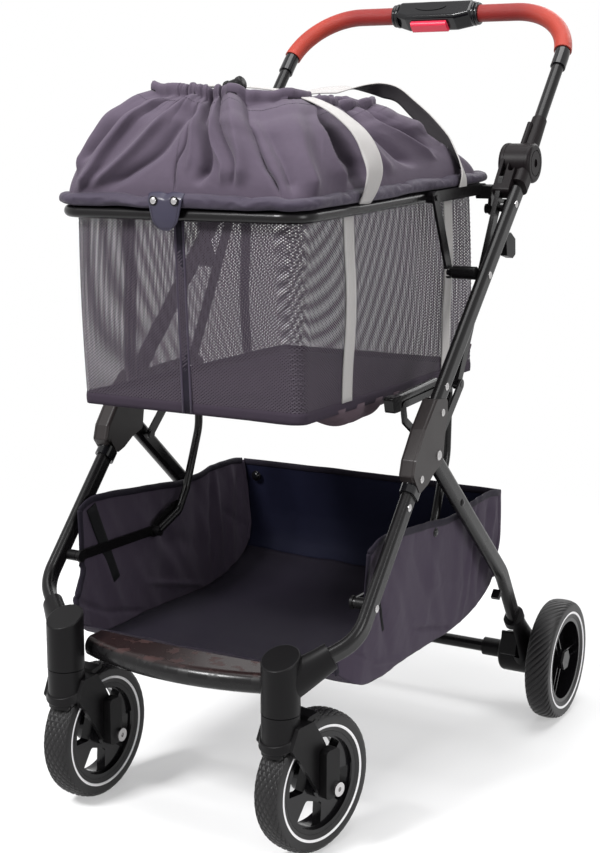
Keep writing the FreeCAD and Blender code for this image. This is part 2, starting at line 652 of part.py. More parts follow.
def side_tube():
    """Bent round tube from the elbow up to the rail, with a gusset over its lower bend."""
    points = [V(SIDE_X, ELBOW.y, ELBOW.z), V(SIDE_X, 232, 333), V(SIDE_X, 254, 365),
              V(SIDE_X, 290, 452), V(SIDE_X, RAIL_FOOT.y, RAIL_FOOT.z - 12)]
    tube = round_tube(points, [20.0, 30.0, 60.0], 6, X)
    eye = bar(V(0, RAIL_FOOT.y, RAIL_FOOT.z - 16), RAIL_FOOT, 8, SIDE_X - 3, SIDE_X + 3)
    gusset = plate([(166, 306), (176, 328), (222, 345), (246, 350), (236, 326), (190, 304)],
                   210, 212, 5)
    elbow_pin = pin(ELBOW.y, ELBOW.z, 4, SIDE_X, 216.4)
    elbow_end = pin(ELBOW.y, ELBOW.z, 7, SIDE_X - 5, SIDE_X + 5)
    body = fuse([tube, eye, gusset, elbow_pin, elbow_end])
    return body.cut(pin(RAIL_FOOT.y, RAIL_FOOT.z, 6, SIDE_X - 5, SIDE_X + 5))


def linkage():
    add_pair("pull_rail", pull_rail())
    add_pair("fold_link", fold_link())
    add_pair("lower_bar", lower_bar())
    add_pair("side_tube", side_tube())


# ---- basket ring -----------------------------------------------------------------------------
def ring_point(y):
    """A point on the ring's slightly rising plane, above the datum line."""
    slope = (RING_REAR.z - RING_FRONT.z) / (RING_REAR.y - RING_FRONT.y)
    return V(0, y, RING_FRONT.z + slope * (y - RING_FRONT.y))


def ring_normal():
    along = (RING_REAR - RING_FRONT).normalize()
    return X.cross(along).normalize()


def ring_rectangle(half_x, front, rear, above, radius):
    """A rounded rectangle parallel to the ring, a given height above its middle."""
    up = ring_normal() * above
    side = V(half_x, 0, 0)
    low, high = ring_point(front) + up, ring_point(rear) + up
    return round_corners([low - side, low + side, high + side, high - side], radius, True)


def basket_ring():
    """Round tube bent into a rounded rectangle that the basket hangs in."""
    edges = ring_rectangle(RING_X, RING_FRONT.y, RING_REAR.y, 0, RING_BEND_R).Edges
    start = edges[1]
    base = start.valueAt(start.FirstParameter)
    tangent = start.tangentAt(start.FirstParameter)
    profile = Part.Wire(Part.makeCircle(RING_TUBE_R, base, tangent))
    path = Part.Wire(edges[1:] + edges[:1])
    return sweep(path, profile, ring_normal())


def ring_arm():
    """Side arm from the prop's rivet back to the pivot plate that hangs the ring on the frame."""
    front, rear = ring_point(PROP_RIVET.y), ring_point(440)
    arm = bar(front, rear, 7.7, RING_X + RING_TUBE_R, 190)
    block = plate([(428, 818.5), (452, 819.5), (454, 800), (428, 799)], RING_X + RING_TUBE_R, 205, 3)
    plate_x = (200, 205)
    link = bar(V(0, 441, 809), RING_PIVOT, 9, *plate_x)
    link = link.cut(pin(RING_PIVOT.y, RING_PIVOT.z, 4 + PIN_PLAY, 190, 210))
    rivet_pin = pin(PROP_RIVET.y, PROP_RIVET.z, 4, 186, 197)
    return fuse([arm, block, link, rivet_pin])


def ring_prop():
    """Prop arm on the ring's rivet; its hooked foot drops over a peg on the push tube.

    The hook is three blocks that touch, below, beside and above its mouth, so that each is convex.
    """
    strip = bar(PROP_RIVET, PROP_FOOT, 8.5, 191, 195)
    strip = strip.cut(pin(PROP_RIVET.y, PROP_RIVET.z, 4 + PIN_PLAY, 188, 198))
    low, high, reach = PROP_FOOT.z - HOOK_HALF, PROP_FOOT.z + HOOK_HALF, 20
    strip = strip.cut(Part.makeBox(10, reach + HOOK_HALF, high - low, V(188, PROP_FOOT.y - reach, low)))
    levels = (low - reach, low, high, PROP_RIVET.z + reach)
    slabs = [Part.makeBox(10, 200, top - foot, V(188, 200, foot)) for foot, top in zip(levels, levels[1:])]
    return Part.makeCompound([strip.common(slab) for slab in slabs])


def ring_group():
    add("basket_ring", basket_ring())
    add("ring_arms", both(ring_arm()))
    add_pair("ring_prop", ring_prop())


# ---- lift-out basket -------------------------------------------------------------------------
def rounded_rectangle(half_x, y0, y1, z, radius):
    points = [V(-half_x, y0, z), V(half_x, y0, z), V(half_x, y1, z), V(-half_x, y1, z)]
    return round_corners(points, radius, True)


def basket_shell():
    """Mesh basket: a box that leans back a little, open on top, with its brim parallel to the ring."""
    w = BASKET_WALL
    brim = RING_TUBE_R + GAP
    room = BASKET_HALF - w
    outer = Part.makeLoft([rounded_rectangle(BASKET_HALF, BASKET_FRONT, BASKET_REAR, BASKET_FLOOR, 22),
                           ring_rectangle(BASKET_HALF, -63.5, 462, brim, 22)], True)
    inner = Part.makeLoft([rounded_rectangle(room, BASKET_FRONT + w, BASKET_REAR - w, BASKET_FLOOR + w, 20),
                           ring_rectangle(room, -63.5 + w, 462 - w, brim + 1, 20)], True)
    return outer.cut(inner).cut(net_openings())


def net_openings():
    """A plain grid of windows, standing for the open net, through all four sides."""
    front_pitch = 2 * (BASKET_HALF - NET_MARGIN) / NET_ACROSS
    side_pitch = (BASKET_REAR - BASKET_FRONT - 2 * NET_MARGIN) / NET_ALONG
    height = (RING_FRONT.z - 2 * NET_LEDGE - BASKET_FLOOR) / NET_UP
    bars = []
    for row in range(NET_UP):
        z = BASKET_FLOOR + NET_LEDGE + row * height + NET_BAR / 2
        for i in range(NET_ACROSS):
            x = NET_MARGIN - BASKET_HALF + i * front_pitch + NET_BAR / 2
            bars.append(Part.makeBox(front_pitch - NET_BAR, 700, height - NET_BAR, V(x, -100, z)))
        for i in range(NET_ALONG):
            y = BASKET_FRONT + NET_MARGIN + i * side_pitch + NET_BAR / 2
            bars.append(Part.makeBox(400, side_pitch - NET_BAR, height - NET_BAR, V(-200, y, z)))
    return Part.makeCompound(bars)


def basket_rim():
    """Padded fabric rim, resting on the ring all the way round."""
    thick = RIM_THICK
    overhang = RING_TUBE_R + 4.5
    start = RING_TUBE_R + GAP
    slab = ring_rectangle(RING_X + overhang, RING_FRONT.y - overhang, RING_REAR.y + overhang,
                          start, RING_BEND_R + overhang)
    hole = ring_rectangle(RING_X - 13.5, RING_FRONT.y + 13.5, RING_REAR.y - 16.5,
                          start - thick, RING_BEND_R - 13.5)
    slab = Part.Face(slab).extrude(ring_normal() * thick)
    slab = rounded(slab, 6, lambda edge: edge.BoundBox.ZLength < 60 and edge.Length > 20)
    return slab.cut(Part.Face(hole).extrude(ring_normal() * thick * 3))


def basket_floor_pad():
    """Soft floor of the basket, bellying down below its bottom hem."""
    sections = [(146, 95, 196, 520), (152, 40, 206, 531), (152, 10, 208, BASKET_FLOOR)]
    rings = [rounded_rectangle(x, y0, y1, z, 18) for x, y0, y1, z in sections]
    return Part.makeLoft(rings, True)


def cover_loft(inset, floor_drop, crown_rise):
    """The cover's form, drawn in level by level from the rim to its mouth."""
    last = len(COVER_RINGS) - 1
    rings = []
    for i, (half_x, front, rear, above, radius) in enumerate(COVER_RINGS):
        drop = floor_drop if i == 0 else inset / 2
        level = COVER_BASE + above - drop + (crown_rise if i == last else 0)
        rings.append(ring_rectangle(half_x - inset, front + inset, rear - inset, level, radius - inset))
    return Part.makeLoft(rings, True)


def basket_cover():
    """Gathered fabric cover: a dome with an open, drawn-in mouth on top."""
    return cover_loft(0, 0, 0).cut(cover_loft(3.0, 8, 5.5))


def strap_strip(y):
    """Webbing sewn up the basket's side, inside the ring."""
    length = RING_FRONT.z - 10 - STRAP_FOOT
    return Part.makeBox(STRAP_THICK, STRAP_WIDE, length, V(BASKET_HALF, y, STRAP_FOOT))


def strap_loop(y):
    """Carrying loop that leaves the rim, lies on the cover and bridges its mouth."""
    base = ring_point(y + STRAP_WIDE).z + COVER_BASE
    half = [(186, base + 1), (184, base + 40), (169, base + 84), (120, base + 118), (62, base + 136)]
    outer = [V(-x, y, z) for x, z in half] + [V(x, y, z) for x, z in reversed(half)]
    inner = [point - Z * STRAP_THICK - X * (STRAP_THICK if point.x > 0 else -STRAP_THICK)
             for point in reversed(outer)]
    return Part.Face(Part.makePolygon(outer + inner + outer[:1])).extrude(V(0, STRAP_WIDE, 0))


def basket_straps():
    pieces = []
    for y in STRAP_YS:
        strip = strap_strip(y)
        pieces += [strip, mirror(strip), strap_loop(y)]
    return Part.makeCompound(pieces)


def basket_group():
    add("basket_shell", basket_shell())
    add("basket_rim", basket_rim())
    add("basket_floor_pad", basket_floor_pad())
    add("basket_cover", basket_cover())
    add("basket_straps", basket_straps())


# ---- handle ----------------------------------------------------------------------------------
def handle_point(x, rise):
    return HUB + V(x, 0, 0) + HANDLE_DIR * rise


def bend_point(angle):
    """A point on the right-hand bend; 0 is where it leaves the side tube, 90 where it joins the bar."""
    start_rise = HANDLE_RISE - HANDLE_BEND_R
    x = HANDLE_X - HANDLE_BEND_R * (1 - cos(radians(angle)))
    return handle_point(x, start_rise + HANDLE_BEND_R * sin(radians(angle)))


def handle_sweep(first_rise, first_angle, last_angle, last_x, radius):
    """A round piece that follows the handle's path on the right-hand side."""
    edges = []
    if first_angle == 0:
        begin = handle_point(HANDLE_X, first_rise)
        if first_rise < HANDLE_RISE - HANDLE_BEND_R:
            edges.append(Part.makeLine(begin, bend_point(0)))
    else:
        begin = bend_point(first_angle)
    middle = (first_angle + last_angle) / 2
    edges.append(Part.Arc(bend_point(first_angle), bend_point(middle), bend_point(last_angle)).toShape())
    if last_angle == 90:
        edges.append(Part.makeLine(bend_point(90), handle_point(last_x, HANDLE_RISE)))
    start = edges[0].tangentAt(edges[0].FirstParameter)
    profile = Part.Wire(Part.makeCircle(radius, begin, start))
    return sweep(Part.Wire(edges), profile, HANDLE_NORMAL)


def handle_tube():
    half = handle_sweep(60, 0, 90, 0, HANDLE_TUBE_R)
    return fuse([half, mirror(half)])


def socket_arm(room):
    """Tapered socket for the handle tube with a peg beside it, drawn larger by some room."""
    low, high = handle_point(HANDLE_X, 18), handle_point(HANDLE_X, 82)
    arm = Part.makeCone(13 + room, 11 + room, (high - low).Length, low, HANDLE_DIR)
    peg = cylinder(handle_point(HANDLE_X - 6, 20) + HANDLE_NORMAL * 13, HANDLE_DIR, 4 + room, 44)
    return fuse([arm, peg])


def handle_socket():
    """Moving half of the hinge: a round knuckle that carries the socket arm between the cheeks."""
    knuckle = pin(HUB_Y, HUB_Z, HUB_R - 0.5, KNUCKLE_IN, KNUCKLE_OUT)
    arm = socket_arm(0).cut(pin(HUB_Y, HUB_Z, HUB_R + GAP, KNUCKLE_OUT, HUB_OUT))
    body = fuse([knuckle, arm])
    body = body.cut(pin(HUB_Y, HUB_Z, 6 + PIN_PLAY, KNUCKLE_IN - 1, KNUCKLE_OUT + 1))
    bore = cylinder(handle_point(HANDLE_X, 60), HANDLE_DIR, HANDLE_TUBE_R, 60)
    return body.cut(bore)


def grip_sleeve():
    outer = handle_sweep(187, 0, 8, 0, HANDLE_TUBE_R + 2.5)
    return outer.cut(handle_sweep(180, 0, 12, 0, HANDLE_TUBE_R))


def handle_grip():
    """Leather-covered foam on the bend and the outer part of the bar."""
    outer = handle_sweep(0, 8, 90, 74, GRIP_R)
    return outer.cut(handle_sweep(150, 0, 90, 60, HANDLE_TUBE_R))


def bar_block(x0, x1, out0, out1, along0, along1, radius):
    """A rounded block at the bar: 'out' is across the handle's plane and 'along' is up the handle."""
    start = handle_point(x0, HANDLE_RISE)
    up = HANDLE_DIR
    out = HANDLE_NORMAL
    corners = [start + out * a + up * b for a, b in
               ((out0, along0), (out1, along0), (out1, along1), (out0, along1))]
    return Part.Face(round_corners(corners, radius, True)).extrude(V(x1 - x0, 0, 0))


def edge_is_flat(edge, normal):
    """Whether an edge lies in a plane across the normal."""
    heights = [point.dot(normal) for point in edge.discretize(5)]
    return max(heights) - min(heights) < 1e-4


def handle_housing():
    """Release housing in the middle of the bar, with flared collars and a well for its button."""
    bar_middle = handle_point(0, HANDLE_RISE)
    corners = [(-66, 16), (66, 16), (66, -13), (38, -21), (-46, -21), (-66, -13)]
    face = [bar_middle + X * x + HANDLE_DIR * along - HANDLE_NORMAL * 17 for x, along in corners]
    core = Part.Face(round_corners(face, 7, True)).extrude(HANDLE_NORMAL * 34)
    core = rounded(core, 6.5, lambda edge: edge.Length > 3 and edge_is_flat(edge, HANDLE_NORMAL))
    collars = []
    for sign in (-1, 1):
        for x, radius, width in ((63, 19, 5.5), (68.5, 17.8, 5.5)):
            collar = cylinder(handle_point(sign * x, HANDLE_RISE), X * sign, radius, width)
            collars.append(rounded(collar, 2, lambda edge: isinstance(edge.Curve, Part.Circle)))
    lens_centre = bar_middle + X * -7 + HANDLE_DIR * 2 + HANDLE_NORMAL * 14
    lens = Part.Face(ellipse_wire(lens_centre, X * 27, HANDLE_DIR * 9)).extrude(HANDLE_NORMAL * 4)
    body = fuse([core, lens] + collars)
    bore = cylinder(handle_point(-80, HANDLE_RISE), X, HANDLE_TUBE_R, 160)
    well = button_block(GAP, -40, BUTTON_WELL + GAP)
    return body.cut(bore).cut(well)


def button_block(room, low, high):
    return bar_block(BUTTON_LEFT - room, BUTTON_RIGHT + room, -12 - room, 8 + room, low, high, 4.5)


def release_button():
    """Button on the underside of the housing, pressed up the handle by a finger."""
    return button_block(0, BUTTON_WELL - BUTTON_TRAVEL - 12, BUTTON_WELL - BUTTON_TRAVEL)


def handle_group():
    add("handle_tube", handle_tube())
    add("handle_sockets", both(handle_socket()))
    add("grip_sleeves", both(grip_sleeve()))
    add("handle_grips", both(handle_grip()))
    add("handle_housing", handle_housing())
    add("release_button", release_button())


# ---- build -----------------------------------------------------------------------------------
def main():
    casters()
    side_frames()
    add("lower_basket", lower_basket())
    rear_frame()
    linkage()
    ring_group()
    basket_group()
    handle_group()
    os.makedirs("parts", exist_ok=True)
    for name, shape in parts.items():
        shape.translate(V(0, -ORIGIN_Y, 0))
        shape.exportStep("parts/" + name + ".step")


main()
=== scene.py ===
"""Looks of the folding stroller: soft goods, tyres, finishes, lights and camera around the CAD frame.

Lengths are in metres in the part's frame.  Fabric outlines are laid out in millimetres, with y from a
line just behind the front casters, and are brought into the frame by at().
"""
import json

from math import cos, pi, sin, tau

import bpy
import numpy as np
from mathutils import Matrix, Vector


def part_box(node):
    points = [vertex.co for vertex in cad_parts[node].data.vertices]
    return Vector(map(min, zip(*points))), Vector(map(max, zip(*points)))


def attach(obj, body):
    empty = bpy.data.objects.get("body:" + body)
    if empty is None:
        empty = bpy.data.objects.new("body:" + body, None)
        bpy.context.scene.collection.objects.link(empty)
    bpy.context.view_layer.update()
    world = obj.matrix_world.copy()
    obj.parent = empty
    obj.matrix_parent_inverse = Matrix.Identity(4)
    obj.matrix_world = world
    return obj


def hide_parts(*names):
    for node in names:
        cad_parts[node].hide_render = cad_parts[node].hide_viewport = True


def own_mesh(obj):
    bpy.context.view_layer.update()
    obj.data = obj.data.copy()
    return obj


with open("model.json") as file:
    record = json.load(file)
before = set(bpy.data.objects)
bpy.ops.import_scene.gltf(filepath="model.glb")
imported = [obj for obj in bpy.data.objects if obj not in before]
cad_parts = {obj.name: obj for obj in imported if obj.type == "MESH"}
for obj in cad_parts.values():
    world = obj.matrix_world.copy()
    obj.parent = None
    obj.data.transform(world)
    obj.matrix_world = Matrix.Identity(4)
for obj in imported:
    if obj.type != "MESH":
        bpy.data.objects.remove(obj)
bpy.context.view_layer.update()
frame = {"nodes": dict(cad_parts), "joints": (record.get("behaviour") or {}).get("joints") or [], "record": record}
scene = bpy.context.scene
rng = np.random.default_rng(7)

# ---- places taken from the CAD ----
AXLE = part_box("rear_axle_tube")
LINE_TO_AXLE = 0.5416
LINE_Y = (AXLE[0].y + AXLE[1].y) / 2 - LINE_TO_AXLE      # the line behind the casters
RING_LOW, RING_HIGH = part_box("basket_ring")
RING_R = 0.0075                     # radius of the ring's tube
RING_FRONT = -73                    # y of the middle of the ring's front bar, in millimetres
RING_SLOPE = (RING_HIGH.z - RING_LOW.z - 2 * RING_R) / (RING_HIGH.y - RING_LOW.y - 2 * RING_R)
SHELL_LOW, SHELL_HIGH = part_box("basket_shell")


def at(x, y, z):
    """Points in the frame from millimetres, y from the line behind the casters."""
    return np.stack(np.broadcast_arrays(x / 1000, LINE_Y + y / 1000, z / 1000), -1)


def ring_height(y):
    """Height of the ring's middle, in millimetres, at y millimetres from the line."""
    return 1000 * (RING_LOW.z + RING_R) + RING_SLOPE * (y - RING_FRONT)


# ---- camera ----
def make_camera():
    """Camera in front and to the right of the stroller, a little above its basket."""
    place = (1.040297, -1.905975, 0.889286)
    yaw, pitch, roll = 0.510314, 0.189713, 0.0031
    ahead = Vector((-sin(yaw) * cos(pitch), cos(yaw) * cos(pitch), -sin(pitch)))
    level = Vector((cos(yaw), sin(yaw), 0))
    up = level.cross(ahead)
    right = cos(roll) * level + sin(roll) * up
    up = cos(roll) * up - sin(roll) * level
    camera = bpy.data.objects.new("camera", bpy.data.cameras.new("camera"))
    scene.collection.objects.link(camera)
    turn = Matrix((right, up, -ahead)).transposed().to_4x4()
    camera.matrix_world = Matrix.Translation(place) @ turn
    camera.data.lens = 64.29
    camera.data.clip_end = 50
    scene.camera = camera


make_camera()


# ---- shading ----
class Sock:
    """An output of a shader tree that takes ordinary arithmetic."""

    def __init__(self, paint, socket):
        self.paint, self.socket = paint, socket

    def maths(self, operation, *others, flip=False):
        values = [self, *others]
        if flip:
            values.reverse()
        return self.paint.node("ShaderNodeMath", {"operation": operation}, values)

    def __add__(self, other):
        return self.maths("ADD", other)

    def __sub__(self, other):
        return self.maths("SUBTRACT", other)

    def __rsub__(self, other):
        return self.maths("SUBTRACT", other, flip=True)

    def __mul__(self, other):
        return self.maths("MULTIPLY", other)

    def __truediv__(self, other):
        return self.maths("DIVIDE", other)

    def __pow__(self, other):
        return self.maths("POWER", other)

    __radd__, __rmul__ = __add__, __mul__

    def size(self):
        return self.maths("ABSOLUTE")

    def wave(self):
        """A triangle wave from 0 to 1 and back over each unit."""
        return self.maths("PINGPONG", 0.5) * 2

    def ramp(self, low, high):
        """0 below low, 1 above high, smooth in between."""
        inputs = {"Value": self, "From Min": low, "From Max": high}
        return self.paint.node("ShaderNodeMapRange", {"interpolation_type": "SMOOTHSTEP"}, inputs)


class Paint:
    """A material built round one Principled shader; colours are linear."""

    def __init__(self, name, colour, roughness, **more):
        self.material = bpy.data.materials.new(name)
        self.material.use_nodes = True
        self.tree = self.material.node_tree
        self.shader = self.tree.nodes["Principled BSDF"]
        self.set("Base Color", (*colour, 1))
        self.set("Roughness", roughness)
        for key, value in more.items():
            self.set(key.replace("_", " "), value)

    def set(self, name, value):
        """Sets or joins an input of the Principled shader."""
        if isinstance(value, Sock):
            self.tree.links.new(value.socket, self.shader.inputs[name])
        else:
            self.shader.inputs[name].default_value = value

    def node(self, kind, settings=None, inputs=(), output=0):
        """Adds a node, sets it up, feeds its inputs and gives back one output."""
        made = self.tree.nodes.new(kind)
        for key, value in (settings or {}).items():
            setattr(made, key, value)
        pairs = inputs.items() if isinstance(inputs, dict) else enumerate(inputs)
        for key, value in pairs:
            if isinstance(value, Sock):
                self.tree.links.new(value.socket, made.inputs[key])
            else:
                made.inputs[key].default_value = value
        return Sock(self, made.outputs[output])

    def place(self, uv=False):
        """The three parts of the point on the object, or of its cloth coordinates in metres."""
        point = self.node("ShaderNodeTexCoord", output="UV" if uv else "Object")
        return [self.node("ShaderNodeSeparateXYZ", inputs=[point], output=i) for i in range(3)]

    def noise(self, scale, detail=2.0, stretch=(1, 1, 1), uv=False):
        """Soft noise, scale patches to the metre."""
        point = self.node("ShaderNodeTexCoord", output="UV" if uv else "Object")
        point = self.node("ShaderNodeVectorMath", {"operation": "MULTIPLY"}, [point, stretch])
        return self.node("ShaderNodeTexNoise", None, {"Vector": point, "Scale": scale, "Detail": detail})

    def mix(self, factor, low, high):
        """A colour between two colours."""
        ends = {"Factor": factor, 6: self.rgb(low), 7: self.rgb(high)}
        return self.node("ShaderNodeMix", {"data_type": "RGBA"}, ends, output=2)

    def rgb(self, value):
        return value if isinstance(value, Sock) else (*value, 1)

    def bump(self, height, distance, strength=1.0):
        """Joins a height to the shader's normal, after any bump already there."""
        before = self.shader.inputs["Normal"].links
        inputs = {"Height": height, "Distance": distance, "Strength": strength}
        if before:
            inputs["Normal"] = Sock(self, before[0].from_socket)
        self.set("Normal", self.node("ShaderNodeBump", None, inputs))


def grain(paint, scale, depth, spread=0.0):
    """Moulded grain, with roughness that varies a little."""
    fine = paint.noise(scale, 3)
    paint.bump(fine, depth)
    if spread:
        rough = paint.shader.inputs["Roughness"].default_value
        paint.set("Roughness", rough - spread + paint.noise(28, 3) * (2 * spread))
    return paint


def creased(paint, depth):
    """Shallow creases of cloth that has been folded and handled."""
    low = paint.noise(9, 4, (1, 0.45, 1), uv=True)
    paint.bump((low - 0.5).size().ramp(0.0, 0.16), depth, 0.7)
    return paint


def dull(paint, level):
    """Lowers the gloss of the bare surface."""
    paint.set("Specular IOR Level", level)
    return paint


def moulded(name, colour, roughness, gloss, scale, depth, spread=0.0):
    """Plastic, paint or rubber with a fine grain; gloss is the strength of its bare reflection."""
    return grain(dull(Paint(name, colour, roughness), gloss), scale, depth, spread)


def cloth(name, colour, roughness, pitch=0.0012, depth=0.0003, uv=True, heather=0.18, **more):
    """Plain weave, one thread over the next, with threads of slightly different colour.

    pitch is two threads across, in metres; heather is how far their colours differ.
    """
    paint = Paint(name, colour, roughness, **more)
    u, v, _ = paint.place(uv)
    over = (u / pitch).wave()
    under = (v / pitch).wave()
    paint.bump(over * under + (1 - over) * (1 - under), depth, 0.6)
    mottle = paint.noise(1 / (9 * pitch), 4, uv=uv)
    tone = (mottle - 0.5) * heather + (over * under) * 0.10 + 0.93
    dark = tuple(c * 0.72 for c in colour)
    light = tuple(min(1, c * 1.2) for c in colour)
    paint.set("Base Color", paint.mix((tone - 0.72) * 1.6, dark, light))
    return dull(paint, 0.14)


frame_black = moulded("frame_black", (0.0050, 0.0046, 0.0050), 0.26, 0.22, 900, 0.00003, 0.05)
bracket_bronze = moulded("bracket_bronze", (0.018, 0.0145, 0.0145), 0.36, 0.24, 1500, 0.00004, 0.05)
housing_black = moulded("housing_black", (0.0042, 0.0039, 0.0043), 0.40, 0.13, 1100, 0.00006, 0.05)
hub_dark = moulded("hub_dark", (0.0060, 0.0044, 0.0050), 0.44, 0.11, 1400, 0.00005, 0.04)
gloss_black = dull(Paint("gloss_black", (0.005, 0.005, 0.006), 0.12), 0.36)
rim_black = moulded("rim_black", (0.005, 0.0046, 0.0055), 0.18, 0.24, 240, 0.00003, 0.04)
rim_grey = moulded("rim_grey", (0.022, 0.021, 0.022), 0.34, 0.24, 900, 0.00003)
steel = grain(Paint("steel", (0.44, 0.43, 0.43), 0.26, Metallic=1.0), 600, 0.00002, 0.06)
button_red = grain(Paint("button_red", (0.80, 0.030, 0.075), 0.34), 1200, 0.00002)
tyre_rubber = moulded("tyre_rubber", (0.0080, 0.0075, 0.0080), 0.42, 0.30, 1600, 0.00005, 0.06)
white_line = grain(Paint("white_line", (0.88, 0.87, 0.88), 0.50), 700, 0.00002)
soft = {"Sheen_Weight": 0.10, "Sheen_Roughness": 0.45}
fabric = creased(cloth("fabric", (0.094, 0.074, 0.104), 0.86, 0.0011, 0.00035, **soft), 0.0012)
tub_cloth = cloth("tub_fabric", (0.058, 0.045, 0.068), 0.88, depth=0.0004, Sheen_Weight=0.06)
tub_fabric = creased(tub_cloth, 0.0018)
rim_fabric = cloth("rim_fabric", (0.052, 0.042, 0.064), 0.60, 0.0011, uv=False, Sheen_Weight=0.08)
navy = cloth("navy", (0.0070, 0.0078, 0.0230), 0.66)
dark_binding = cloth("dark_binding", (0.013, 0.0105, 0.018), 0.66)
pouch_cloth = cloth("pouch_cloth", (0.105, 0.076, 0.092), 0.84)
hem_cloth = cloth("hem_cloth", (0.036, 0.027, 0.040), 0.80)
base_cloth = cloth("base_cloth", (0.042, 0.030, 0.044), 0.84, uv=False)
black_webbing = cloth("black_webbing", (0.006, 0.006, 0.007), 0.80, 0.0016, 0.0005)
webbing = cloth("webbing", (0.470, 0.453, 0.446), 0.62, 0.0017, 0.0006, heather=0.10, Sheen_Weight=0.10)
# darker copy of the webbing: painted shade for the loops' inner side, which faces away from the light
webbing_painted_shade = cloth("webbing_painted_shade", (0.060, 0.056, 0.060), 0.75, 0.0017, 0.0006, heather=0.10)
net_cord = moulded("net_cord", (0.058, 0.047, 0.062), 0.55, 0.2, 1800, 0.00004)
thread = moulded("thread", (0.030, 0.025, 0.036), 0.70, 0.2, 2500, 0.00003)
leatherette = moulded("leatherette", (0.026, 0.023, 0.044), 0.34, 0.4, 750, 0.00012, 0.06)


def leather_grip():
    """Pebbled tan-red leather, lighter towards the bends, with dark blotches."""
    paint = dull(Paint("grip_leather", (0.30, 0.036, 0.020), 0.42), 0.3)
    cells = paint.node("ShaderNodeTexVoronoi", {"feature": "DISTANCE_TO_EDGE"}, {"Scale": 620})
    paint.bump(cells.ramp(0.0, 0.35), 0.00014, 0.6)
    x, _, _ = paint.place()
    toward_bends = x.size().ramp(0.13, 0.21)
    blotch = paint.noise(22, 4)
    tone = paint.mix(toward_bends, (0.210, 0.013, 0.011), (0.340, 0.030, 0.015))
    paint.set("Base Color", paint.mix((blotch - 0.40) * 0.8, tone, (0.13, 0.012, 0.010)))
    paint.set("Roughness", 0.34 + blotch * 0.2)
    return paint


grip_leather = leather_grip()

FINISHES = {
    "frame_black": frame_black, "bracket_brown": bracket_bronze, "housing_black": housing_black,
    "hub_dark": hub_dark, "gloss_black": gloss_black, "rim_black": rim_black, "rim_grey": rim_grey,
    "tyre": tyre_rubber, "leather": grip_leather, "button_red": button_red, "steel": steel,
    "fabric_grey": fabric, "webbing": webbing, "mesh": net_cord,
}
for part in frame["record"]["subparts"]:
    mesh = frame["nodes"][part["node"]].data
    mesh.materials.clear()
    mesh.materials.append(FINISHES[part["material_slot"]].material)


def board_with_brown_top():
    """Black board with a brownish, mottled top of varying gloss."""
    black, brown = (0.0050, 0.0046, 0.0050), (0.040, 0.019, 0.018)
    paint = dull(Paint("footboard_black", black, 0.34), 0.26)
    _, _, z = paint.place()
    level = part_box("footboard")[1].z
    spots = paint.noise(45, 5).ramp(0.50, 0.62)
    top = z.ramp(level - 0.005, level - 0.001)
    paint.set("Base Color", paint.mix(top * (0.35 + spots * 0.65), black, brown))
    paint.set("Roughness", 0.24 + spots * 0.2)
    return paint


frame["nodes"]["footboard"].data.materials[0] = board_with_brown_top().material


# ---- mesh tools ----
def new_piece(name, points, faces, paint, body="basket", uv=None, smooth=True):
    """A mesh object that rides on a body; uv is one pair of cloth coordinates for each point."""
    mesh = bpy.data.meshes.new(name)
    mesh.from_pydata(points.tolist(), [], faces if isinstance(faces, list) else faces.tolist())
    mesh.materials.append(paint.material)
    if uv is not None:
        corner = np.zeros(len(mesh.loops), np.int32)
        mesh.loops.foreach_get("vertex_index", corner)
        layer = mesh.uv_layers.new(name="cloth")
        layer.data.foreach_set("uv", uv[corner].astype(np.float32).ravel())
    mesh.polygons.foreach_set("use_smooth", [smooth] * len(mesh.polygons))
    made = bpy.data.objects.new(name, mesh)
    scene.collection.objects.link(made)
    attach(made, body)
    return made


def grid_faces(rows, columns, around=False, across=False):
    """Quads of a rows x columns grid; around joins the last column to the first, across the rows."""
    r = np.arange(rows if across else rows - 1)[:, None]
    c = np.arange(columns if around else columns - 1)[None, :]
    r2, c2 = (r + 1) % rows, (c + 1) % columns
    quads = [r * columns + c, r * columns + c2, r2 * columns + c2, r2 * columns + c]
    return np.stack(quads, -1).reshape(-1, 4)


def steps_along(points):
    """Running length at each point of a line."""
    gaps = np.linalg.norm(np.diff(points, axis=0), axis=1)
    return np.concatenate([[0], np.cumsum(gaps)])


def declare_cloth(grid):
    """Works out cross products for the two halves of each quad of the grid; nothing is done with them."""
    one = np.cross(grid[1:, :-1] - grid[:-1, :-1], grid[:-1, 1:] - grid[:-1, :-1])
    two = np.cross(grid[:-1, 1:] - grid[1:, 1:], grid[1:, :-1] - grid[1:, 1:])


def surface(name, grid, paint, thickness=0.0, body="basket", around=False, inner=None,
            held="stretched"):
    """A cloth surface from a (rows, columns, 3) grid, with cloth coordinates in metres.

    thickness is the cloth's own, inner the finish of its other side; held names how the cloth is kept in
    place, or is None where it is the cover of something stuffed, and only decides whether declare_cloth is called.
    """
    rows, columns, _ = grid.shape
    across = np.linalg.norm(np.diff(grid, axis=1), axis=2).mean(0)
    down = np.linalg.norm(np.diff(grid, axis=0), axis=2).mean(1)
    steps = [np.concatenate([[0], np.cumsum(gaps)]) for gaps in (across, down)]
    uv = np.stack(np.meshgrid(*steps), -1).reshape(-1, 2)
    made = new_piece(name, grid.reshape(-1, 3), grid_faces(rows, columns, around), paint, body, uv)
    if thickness:
        solid = made.modifiers.new("cloth", "SOLIDIFY")
        solid.thickness = thickness
        solid.offset = 0
        if inner:
            made.data.materials.append(inner.material)
            solid.material_offset = 1
            solid.material_offset_rim = 0
    if held:
        whole = np.concatenate([grid, grid[:, :1]], 1) if around else grid
        declare_cloth(whole)
    return made


